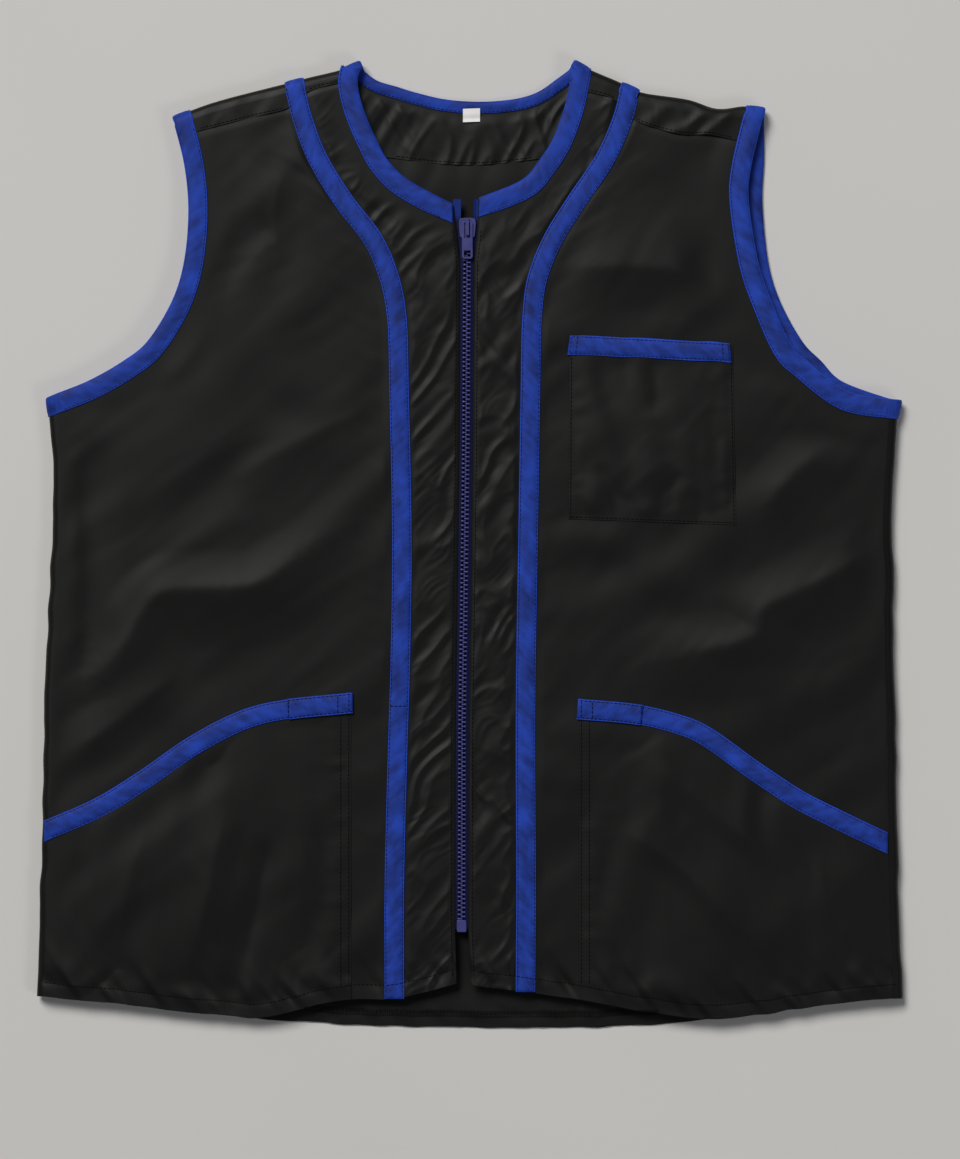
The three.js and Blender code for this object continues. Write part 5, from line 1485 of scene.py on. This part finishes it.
def chest_pocket_tape():
    """Tape across the chest pocket's mouth, its run slightly wavy."""
    u = np.linspace(0, 1, CHEST_TAPE_STATIONS)
    low, top = between(CHEST_TAPE, u, 0), between(CHEST_TAPE, u, 1)
    middle = (low + top) / 2
    waves = CHEST_TAPE_WAVES
    middle[:, 1] += waves.height * rumple(u / waves.spacing, u * 0, waves.seed)
    z = front_height("left", middle[:, 0], middle[:, 1]) + MOUTH_TAPE_Z
    stations = raised(middle, z), raised(unit(low - top), 0.0), upward(len(u))
    width = float(np.linalg.norm(top - low, axis=1).mean())
    swept_piece("chest_pocket_tape", stations, strip_section(width, 0.0, MOUTH_TAPE_RISE))


# Zip

ZIP_TAPE_ABOVE_BOTTOM = 4.0
ZIP_TAPE_ROWS = 160
ZIP_TAPE_END_ROWS = 12
ZIP_TAPE_END_STEP = 2.0
ZIP_TAPE_POINTS = 9
ZIP_TAPE_BY_NECK = 0.3
ZIP_TAPE_TOP_INSET = 0.6
ZIP_CORD_RISE = 0.7
ZIP_CORD_WIDTH = 0.9
TOOTH_Z = ZIP_Z + 0.25
TOOTH_MIDDLE = np.array([1.6, 0.0])
FIRST_TOOTH = TEETH_LOW + 1.2
LAST_TOOTH = TEETH_HIGH - 1.0
WELD_WITHIN = 0.02
EDGE_ROUNDING = 0.3


def zip_tape(side):
    """Woven tape beside the teeth, narrowing above the slider to end beside the neck binding."""
    full = np.linspace(ZIP_BOTTOM + ZIP_TAPE_ABOVE_BOTTOM, ZIP_TAPE_FULL_TO, ZIP_TAPE_ROWS)
    top_end = np.linspace(ZIP_TAPE_FULL_TO + ZIP_TAPE_END_STEP, ZIP_TOP, ZIP_TAPE_END_ROWS)
    y = np.concatenate([full, top_end])[:, None]
    narrow = np.abs(NECK_FRONT[side][0][0] - zip_x(y)) - teeth_apart(y) - ZIP_TAPE_BY_NECK
    outer = np.where(y <= ZIP_TAPE_FULL_TO, ZIP_TAPE_OUTER, narrow)
    inner = np.where(y > TEETH_HIGH, ZIP_TAPE_INNER + ZIP_TAPE_TOP_INSET, ZIP_TAPE_INNER)
    out = lerp(inner, outer, np.linspace(0, 1, ZIP_TAPE_POINTS))
    x = zip_x(y) + SIGN[side] * (out + teeth_apart(y))
    cord = ZIP_CORD_RISE * np.exp(-(((out - inner) / ZIP_CORD_WIDTH) ** 2))
    cloth_piece(f"zip_tape_{side}", solid_points(x, y, ZIP_Z + cord), finish="zip_tape")


def tooth_form():
    """One moulded tooth, from its root on the tape to its head past the middle: (out, along, up)."""
    outline = np.array([(2.7, 0.6), (1.9, 0.85), (1.0, 0.6), (0.4, 0.5), (-0.3, 0.82), (-0.75, 0.55)])
    ring = np.concatenate([outline, outline[::-1] * (1, -1)])
    levels = ((-1.2, 0.9), (-0.5, 1.0), (0.5, 1.0), (1.0, 0.8), (1.25, 0.45))
    rings = [raised(lerp(TOOTH_MIDDLE, ring, swell), up) for up, swell in levels]
    return np.concatenate(rings), tube_faces(len(levels), len(ring))


def zip_teeth(side):
    """Row of teeth along one tape; the two rows are half a pitch apart and mesh below the slider."""
    pitch = bpy.context.scene.vest_sizes.tooth_pitch / MM
    shift = pitch / 4 * SIGN[side]
    form, form_faces = tooth_form()
    out, along, up = form.T
    teeth = []
    for y in np.arange(FIRST_TOOTH + shift, LAST_TOOTH, pitch):
        x = zip_x(y) + SIGN[side] * (out + teeth_apart(y))
        teeth.append(solid_points(x, y + along, TOOTH_Z + up))
    points, faces = many(teeth, form_faces)
    name = f"zip_teeth_{side}"
    piece = add_piece(name, points, faces, points[:, :2], "zip_plastic")
    face_outwards(piece)
    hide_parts(name)


def moulded_node(name):
    """A hard piece of the frame, its edges rounded, in moulded plastic."""
    node = frame["nodes"][name]
    weld = node.modifiers.new("joined corners", "WELD")
    weld.merge_threshold = WELD_WITHIN * MM
    rounding = node.modifiers.new("rounded edges", "BEVEL")
    rounding.width = EDGE_ROUNDING * MM
    rounding.segments = 3
    rounding.limit_method = "ANGLE"
    rounding.harden_normals = False
    node.data.materials.clear()
    node.data.materials.append(finish_of("zip_plastic"))


# Label

LABEL_LAPPED_Z = EDGE_BACK_Z + 2.3
LABEL_FREE_Z = EDGE_BACK_Z + 1.5
LABEL_END_LIFT = 0.5
LABEL_BOW = 0.15


def size_label():
    """Small bare label, its top lapped on the neck binding and its free end lifted a little."""
    u, v = np.meshgrid(np.linspace(-0.5, 0.5, 9), np.linspace(0, 1, 13))
    across = u * LABEL["width"]
    y = LABEL["top"] - v * LABEL["length"] + across * math.tan(math.radians(LABEL["tilt"]))
    z = lerp(LABEL_LAPPED_Z, LABEL_FREE_Z, smooth(v, 0.4, 0.8)) + LABEL_END_LIFT * smooth(v, 0.75, 1)
    z = z + LABEL_BOW * np.cos(2 * math.pi * u)
    cloth_piece("size_label", solid_points(LABEL["x"] + across, y, z), finish="label")


# Stitches: laid on whatever surface is uppermost, or undermost when sewn from below

STITCH_SHARE = 0.78
STITCH_LIFT = 0.35
STITCH_SIDES = 6
WAY_STEP = 0.3
SEARCH_FROM = 0.1

# Insets of the stitching from the lines it follows
STRIPE_SEWN_TO = 300.0
STRIPE_INNER_INSET = 5.3
STRIPE_OUTER_INSET = 5.6
BINDING_INSET = 11.8
NECK_BACK_INSET = NECK_INNER_LEG - 1.1
MOUTH_INSETS = (1.2, TAPE_WIDTH - 1.2)
TAB_INSETS = (0.9, TAPE_WIDTH - 0.9)
TAB_CROSSINGS = (1.2, 8.5, TAB_LENGTH - 1.2)
POCKET_SIDE_INSETS = (1.4, 6.6)
CHEST_ENDS = (0.012, 0.988)
CHEST_TAPE_ENDS = (0.012, 0.05, 0.95, 0.988)
CHEST_TAPE_EDGES = (0.1, 0.9)
ZIP_INSET = 2.4
ZIP_SEWN = (-283, 206)
HEM_END_INSET = 5.0
SHOULDER_INSET = 1.4
SHOULDER_SEWN_FROM = 0.16
SHOULDER_END_GAP = 0.01
YOKE_INSET = 1.5
JOIN_HALF_WIDTH = 6.2
JOIN_SLANT = 0.4
OVERLOCK_X = np.arange(-108.0, 124.0, 1.2)
OVERLOCK_BELOW = 3.0
OVERLOCK_WAY = (0.5, 5.4)


def spaced(path, pitch):
    """Points and directions along a path in plan, one for each stitch."""
    along = lengths_along(path)
    places = np.arange(pitch / 2, along[-1], pitch)

    def at(where):
        return plan(*(np.interp(where, along, part) for part in path.T))

    return at(places), unit(at(places + WAY_STEP) - at(places - WAY_STEP))


def stitch_form():
    """One stitch along x, tapered at both ends, with unit length and radius."""
    rings = ((-0.5, 0.35), (-0.28, 1.0), (0.28, 1.0), (0.5, 0.35))
    turns = np.arange(STITCH_SIDES) * (2 * math.pi / STITCH_SIDES)
    points = [solid_points(along, radius * np.cos(turns), radius * np.sin(turns)) for along, radius in rings]
    return np.concatenate(points), tube_faces(len(rings), STITCH_SIDES)


def shown_surfaces():
    """Search trees of all the cloth, tape and teeth made so far."""
    graph = bpy.context.evaluated_depsgraph_get()
    made = [each for each in bpy.context.scene.objects if each.name.startswith("fine_")]
    return [BVHTree.FromObject(each, graph) for each in made]


def sew(name, paths, finish, from_below=False):
    """All stitches of one thread along the given paths."""
    sizes = bpy.context.scene.vest_sizes
    pitch, radius = sizes.stitch_pitch / MM, sizes.thread_thickness / MM / 2
    facing = -1 if from_below else 1
    drop = Vector((0, 0, -facing))
    surfaces = shown_surfaces()
    form, form_faces = stitch_form()
    form = form * (pitch * STITCH_SHARE, radius, radius)
    stitches = []
    for path in paths:
        for place, way in zip(*spaced(path, pitch)):
            origin = Vector((*(place * MM), facing * SEARCH_FROM))
            hits = [surface.ray_cast(origin, drop) for surface in surfaces]
            hits = [hit for hit in hits if hit[0] is not None]
            if not hits:
                continue
            location, normal = hits[np.argmin([hit[3] for hit in hits])][:2]
            up = np.array(normal) * (1 if normal.dot(drop) < 0 else -1)
            along = np.array([*way, 0.0])
            along = unit(along - up * along.dot(up))
            centre = np.array(location) / MM + up * radius * STITCH_LIFT
            stitches.append(centre + form @ np.array([along, np.cross(up, along), up]))
    points, faces = many(stitches, form_faces)
    face_outwards(add_piece(name, points, faces, points[:, :2], finish))


def stripe_path(side, offset):
    y = np.linspace(hem_at_stripe(side) + 1, STRIPE_SEWN_TO, 240)
    x = stripe_x[side](y)
    return plan(x, y) + unit(plan(1.0, -np.gradient(x, y))) * offset


def mouth_path(side, start, end, below):
    x = np.linspace(start, end, 60)
    y = mouth_y[side](x)
    return plan(x, y) + unit(plan(np.gradient(y, x), -1.0)) * below


def hem_path(hem, start, end, count):
    x = np.linspace(start, end, count)
    return plan(x, hem(x) + HEM_DEPTH)


def yoke_path(start, end, count):
    x = np.linspace(start, end, count)
    return plan(x, yoke_seam_y(x) + YOKE_INSET)


def blue_paths():
    """Stitching in blue thread: along the edges of the tapes."""
    paths = []
    for side in SIDES:
        paths.append(stripe_path(side, -SIGN[side] * STRIPE_INNER_INSET))
        arm, neck = np.linspace(0.02, 0.97, 200), np.linspace(0.02, 0.97, 120)
        paths.append(armhole_front[side].beside(arm, ARMHOLE_CLOTH[side], BINDING_INSET))
        paths.append(neck_front[side].beside(neck, NECK_CLOTH[side], BINDING_INSET))
        tab_x = POCKET_INNER[side] + SIGN[side] * TAB_LENGTH
        paths += [mouth_path(side, pocket_side_x(side), tab_x, below) for below in MOUTH_INSETS]
    u = np.linspace(0.01, 0.99, 60)
    paths += [between(CHEST_TAPE, u, v) for v in CHEST_TAPE_EDGES]
    v = np.linspace(*CHEST_TAPE_EDGES, 8)
    paths += [between(CHEST_TAPE, u, v) for u in CHEST_TAPE_ENDS]
    paths.append(neck_back.beside(np.linspace(0.04, 0.96, 120), 1, NECK_BACK_INSET))
    return paths


def black_paths():
    """Stitching in black thread: hems, pockets, zip and seams, and the outer edges of the stripes."""
    paths = []
    for side in SIDES:
        low, high = HEM_FRONT[side][0][0], HEM_FRONT[side][-1][0]
        paths.append(hem_path(hem_y[side], low + HEM_END_INSET, high - HEM_END_INSET, 160))
        paths.append(stripe_path(side, SIGN[side] * STRIPE_OUTER_INSET))
        y = np.linspace(*ZIP_SEWN, 160)
        paths.append(plan(edge_x(side, y) + SIGN[side] * ZIP_INSET, y))
        inner = POCKET_INNER[side]
        tab_x = inner + SIGN[side] * TAB_LENGTH
        paths += [mouth_path(side, tab_x, inner, below) for below in TAB_INSETS]
        for inset in TAB_CROSSINGS:
            x = inner + SIGN[side] * inset
            paths.append(plan(x, mouth_y[side](x) - np.array(TAB_INSETS)))
        ends = np.array([mouth_y[side](inner) - TAPE_WIDTH, hem_y[side](inner) + HEM_DEPTH])
        paths += [plan(inner + SIGN[side] * inset, ends) for inset in POCKET_SIDE_INSETS]
        for names in (("armhole", "stripe_out"), ("stripe_in", "neck_tape")):
            start, end = (SHOULDER_POINTS.index(name) / (len(SHOULDER_POINTS) - 1) for name in names)
            shares = np.linspace(max(start, SHOULDER_SEWN_FROM), end - SHOULDER_END_GAP, 50)
            paths.append(shoulder_seam[side].at(shares) + (0, SHOULDER_INSET))
    join = stripe_x["right"](STRIPE_JOIN) + np.array([-JOIN_HALF_WIDTH, JOIN_HALF_WIDTH])
    paths.append(plan(join, np.array([STRIPE_JOIN - JOIN_SLANT, STRIPE_JOIN])))
    v = np.linspace(0.0, 0.9, 40)
    paths += [between(CHEST_POCKET, u, v) for u in CHEST_ENDS]
    paths.append(between(CHEST_POCKET, np.linspace(*CHEST_ENDS, 40), CHEST_ENDS[0]))
    paths.append(yoke_path(-48, 42, 60))
    paths.append(hem_path(hem_back_y, -110, 125, 120))
    return paths


def overlock_paths():
    """Close slanting stitches of the overlocked edge inside the back hem, seen below the front hems."""
    low = plan(OVERLOCK_X, hem_back_y(OVERLOCK_X) + HEM_DEPTH - OVERLOCK_BELOW)
    return [np.array([start, start + OVERLOCK_WAY]) for start in low]


def under_paths():
    """Stitching on the outside of the back: yoke seam and hem."""
    return [yoke_path(-176, 180, 200), hem_path(hem_back_y, -270, 270, 260)]


# Sizes and colours that a user may change


def size_property(name, description, default):
    return FloatProperty(name=name, description=description, default=default, unit="LENGTH", precision=5)


def colour_property(name, description, default):
    return FloatVectorProperty(
        name=name, description=description, default=default, subtype="COLOR", size=3, min=0.0, max=1.0
    )


class VestSizes(bpy.types.PropertyGroup):
    """Sizes of the vest's fine parts"""

    cloth_thickness: size_property("Cloth", "Thickness of the shown cloth", 0.0005)
    tooth_pitch: size_property("Tooth pitch", "Distance between teeth of one row", 0.0029)
    stitch_pitch: size_property("Stitch", "Length taken by one stitch", 0.0028)
    thread_thickness: size_property("Thread", "Thickness of the sewing thread", 0.00055)


class VestColours(bpy.types.PropertyGroup):
    """Colours of the vest and of the floor"""

    cloth: colour_property("Cloth", "Black cloth", (0.0024, 0.0024, 0.0023))
    tape: colour_property("Tape", "Royal blue tape", (0.010, 0.042, 0.33))
    # The zip tape's colour is darkened far below its own blue as painted shade, for the shadow beside the
    # teeth under the front edges
    zip_tape: colour_property("Zip tape", "Navy woven tape", (0.002, 0.0035, 0.045))
    zip_plastic: colour_property("Zip", "Blue moulded plastic", (0.052, 0.054, 0.22))
    label: colour_property("Label", "White label", (0.98, 0.98, 0.97))
    black_thread: colour_property("Black thread", "Thread of the seams", (0.0015, 0.0015, 0.0015))
    blue_thread: colour_property("Blue thread", "Thread of the tapes", (0.008, 0.018, 0.14))
    floor: colour_property("Floor", "Pale floor", (0.74, 0.73, 0.71))


# Operators


class VEST_OT_back(bpy.types.Operator):
    """Add the back panel and the yoke"""

    bl_idname = "vest.back"
    bl_label = "Back and yoke"

    def execute(self, context):
        back_panel()
        back_yoke()
        return {"FINISHED"}


class VEST_OT_fronts(bpy.types.Operator):
    """Add the side and centre front panels"""

    bl_idname = "vest.fronts"
    bl_label = "Front panels"

    def execute(self, context):
        for side in SIDES:
            front_side(side)
            front_centre(side)
        return {"FINISHED"}


class VEST_OT_pockets(bpy.types.Operator):
    """Add the chest pocket, the lower pockets and their tapes"""

    bl_idname = "vest.pockets"
    bl_label = "Pockets"

    def execute(self, context):
        chest_pocket()
        chest_pocket_tape()
        for side in SIDES:
            lower_pocket(side)
            lower_pocket_tapes(side)
        return {"FINISHED"}


class VEST_OT_tapes(bpy.types.Operator):
    """Add the stripes and the neck and armhole bindings"""

    bl_idname = "vest.tapes"
    bl_label = "Stripes and bindings"

    def execute(self, context):
        neck_binding()
        for side in SIDES:
            front_stripe(side)
            armhole_binding(side)
        return {"FINISHED"}


class VEST_OT_zip(bpy.types.Operator):
    """Add the zip's tapes and teeth, and finish its slider, pull tab and box"""

    bl_idname = "vest.zip"
    bl_label = "Zip"

    def execute(self, context):
        for side in SIDES:
            zip_tape(side)
            zip_teeth(side)
        for name in ("zip_slider", "zip_pull", "zip_box"):
            moulded_node(name)
        return {"FINISHED"}


class VEST_OT_label(bpy.types.Operator):
    """Add the bare label at the back of the neck"""

    bl_idname = "vest.label"
    bl_label = "Label"

    def execute(self, context):
        size_label()
        return {"FINISHED"}


class VEST_OT_stitches(bpy.types.Operator):
    """Sew the seams, hems, tapes and pockets"""

    bl_idname = "vest.stitches"
    bl_label = "Stitches"

    def execute(self, context):
        sew("stitches_tape", blue_paths(), "blue_thread")
        sew("stitches_cloth", [*black_paths(), *overlock_paths()], "black_thread")
        sew("stitches_back", under_paths(), "black_thread", from_below=True)
        return {"FINISHED"}


class VEST_OT_stage(bpy.types.Operator):
    """Add the floor, the lights and the camera above the vest"""

    bl_idname = "vest.stage"
    bl_label = "Stage"

    def execute(self, context):
        add_floor(context.scene.vest_colours.floor)
        add_lights()
        add_camera()
        return {"FINISHED"}


# Stage

CAMERA_PLACE = (0.0072, -0.0226)
CAMERA_HEIGHT = 3.168
CAMERA_LENS = 150.0
SENSOR = 36.0
FLOOR_HALF = 9.0
FLOOR_Z = -0.0003


def add_floor(colour):
    mesh = bpy.data.meshes.new("floor")
    corners = [(x * FLOOR_HALF, y * FLOOR_HALF, 0) for x, y in ((-1, -1), (1, -1), (1, 1), (-1, 1))]
    mesh.from_pydata(corners, [], [(0, 1, 2, 3)])
    paint = Paint("floor")
    patches = paint.noise("3D", paint.position(), 3.0)
    paint.set(base_color=paint.tones(patches, colour, 0.97, 1.03), roughness=0.85)
    mesh.materials.append(paint.material)
    floor = bpy.data.objects.new("floor", mesh)
    floor.location.z = FLOOR_Z
    bpy.context.scene.collection.objects.link(floor)


def add_area_light(name, place, size, power, colour):
    """A lamp that shines on the middle of the vest."""
    light = bpy.data.lights.new(name, "AREA")
    light.shape = "RECTANGLE"
    light.size, light.size_y = size
    light.energy = power
    light.color = colour
    holder = bpy.data.objects.new(name, light)
    holder.location = place
    holder.rotation_euler = (-Vector(place)).to_track_quat("-Z", "Y").to_euler()
    bpy.context.scene.collection.objects.link(holder)


def add_lights():
    scene = bpy.context.scene
    add_area_light("key", (-2.9, 4.7, 7.2), (4.0, 3.6), 600.0, (1.0, 0.98, 0.95))
    add_area_light("fill", (2.4, -1.8, 2.6), (1.4, 1.0), 16.0, (0.95, 0.97, 1.0))
    world = bpy.data.worlds.new("soft room")
    world.use_nodes = True
    background = world.node_tree.nodes["Background"]
    background.inputs["Color"].default_value = (0.9, 0.93, 1.0, 1.0)
    background.inputs["Strength"].default_value = 0.09
    scene.world = world
    scene.view_settings.view_transform = "Standard"


def add_camera():
    lens = bpy.data.cameras.new("camera")
    lens.lens = CAMERA_LENS
    lens.sensor_width = SENSOR
    camera = bpy.data.objects.new("camera", lens)
    camera.location = (*CAMERA_PLACE, FRONT_Z * MM + CAMERA_HEIGHT)
    bpy.context.scene.collection.objects.link(camera)
    bpy.context.scene.camera = camera


class VEST_PT_parts(bpy.types.Panel):
    """Parts of the vest, with their sizes and colours"""

    bl_idname = "VEST_PT_parts"
    bl_label = "Barber vest"
    bl_space_type = "VIEW_3D"
    bl_region_type = "UI"
    bl_category = "Vest"

    def draw(self, context):
        for group in (context.scene.vest_sizes, context.scene.vest_colours):
            for name in group.bl_rna.properties.keys():
                if name not in ("rna_type", "name"):
                    self.layout.prop(group, name)
        for operator in OPERATORS:
            self.layout.operator(operator.bl_idname)


OPERATORS = (
    VEST_OT_back, VEST_OT_fronts, VEST_OT_pockets, VEST_OT_tapes, VEST_OT_zip, VEST_OT_stitches,
    VEST_OT_label, VEST_OT_stage,
)
CLASSES = (VestSizes, VestColours, *OPERATORS, VEST_PT_parts)


def register():
    for each in CLASSES:
        bpy.utils.register_class(each)
    bpy.types.Scene.vest_sizes = PointerProperty(type=VestSizes)
    bpy.types.Scene.vest_colours = PointerProperty(type=VestColours)


def unregister():
    del bpy.types.Scene.vest_colours
    del bpy.types.Scene.vest_sizes
    for each in reversed(CLASSES):
        bpy.utils.unregister_class(each)


def main():
    register()
    bpy.ops.vest.back()
    bpy.ops.vest.fronts()
    bpy.ops.vest.pockets()
    bpy.ops.vest.tapes()
    bpy.ops.vest.zip()
    bpy.ops.vest.stitches()
    bpy.ops.vest.label()
    bpy.ops.vest.stage()


if __name__ == "__main__":
    main()
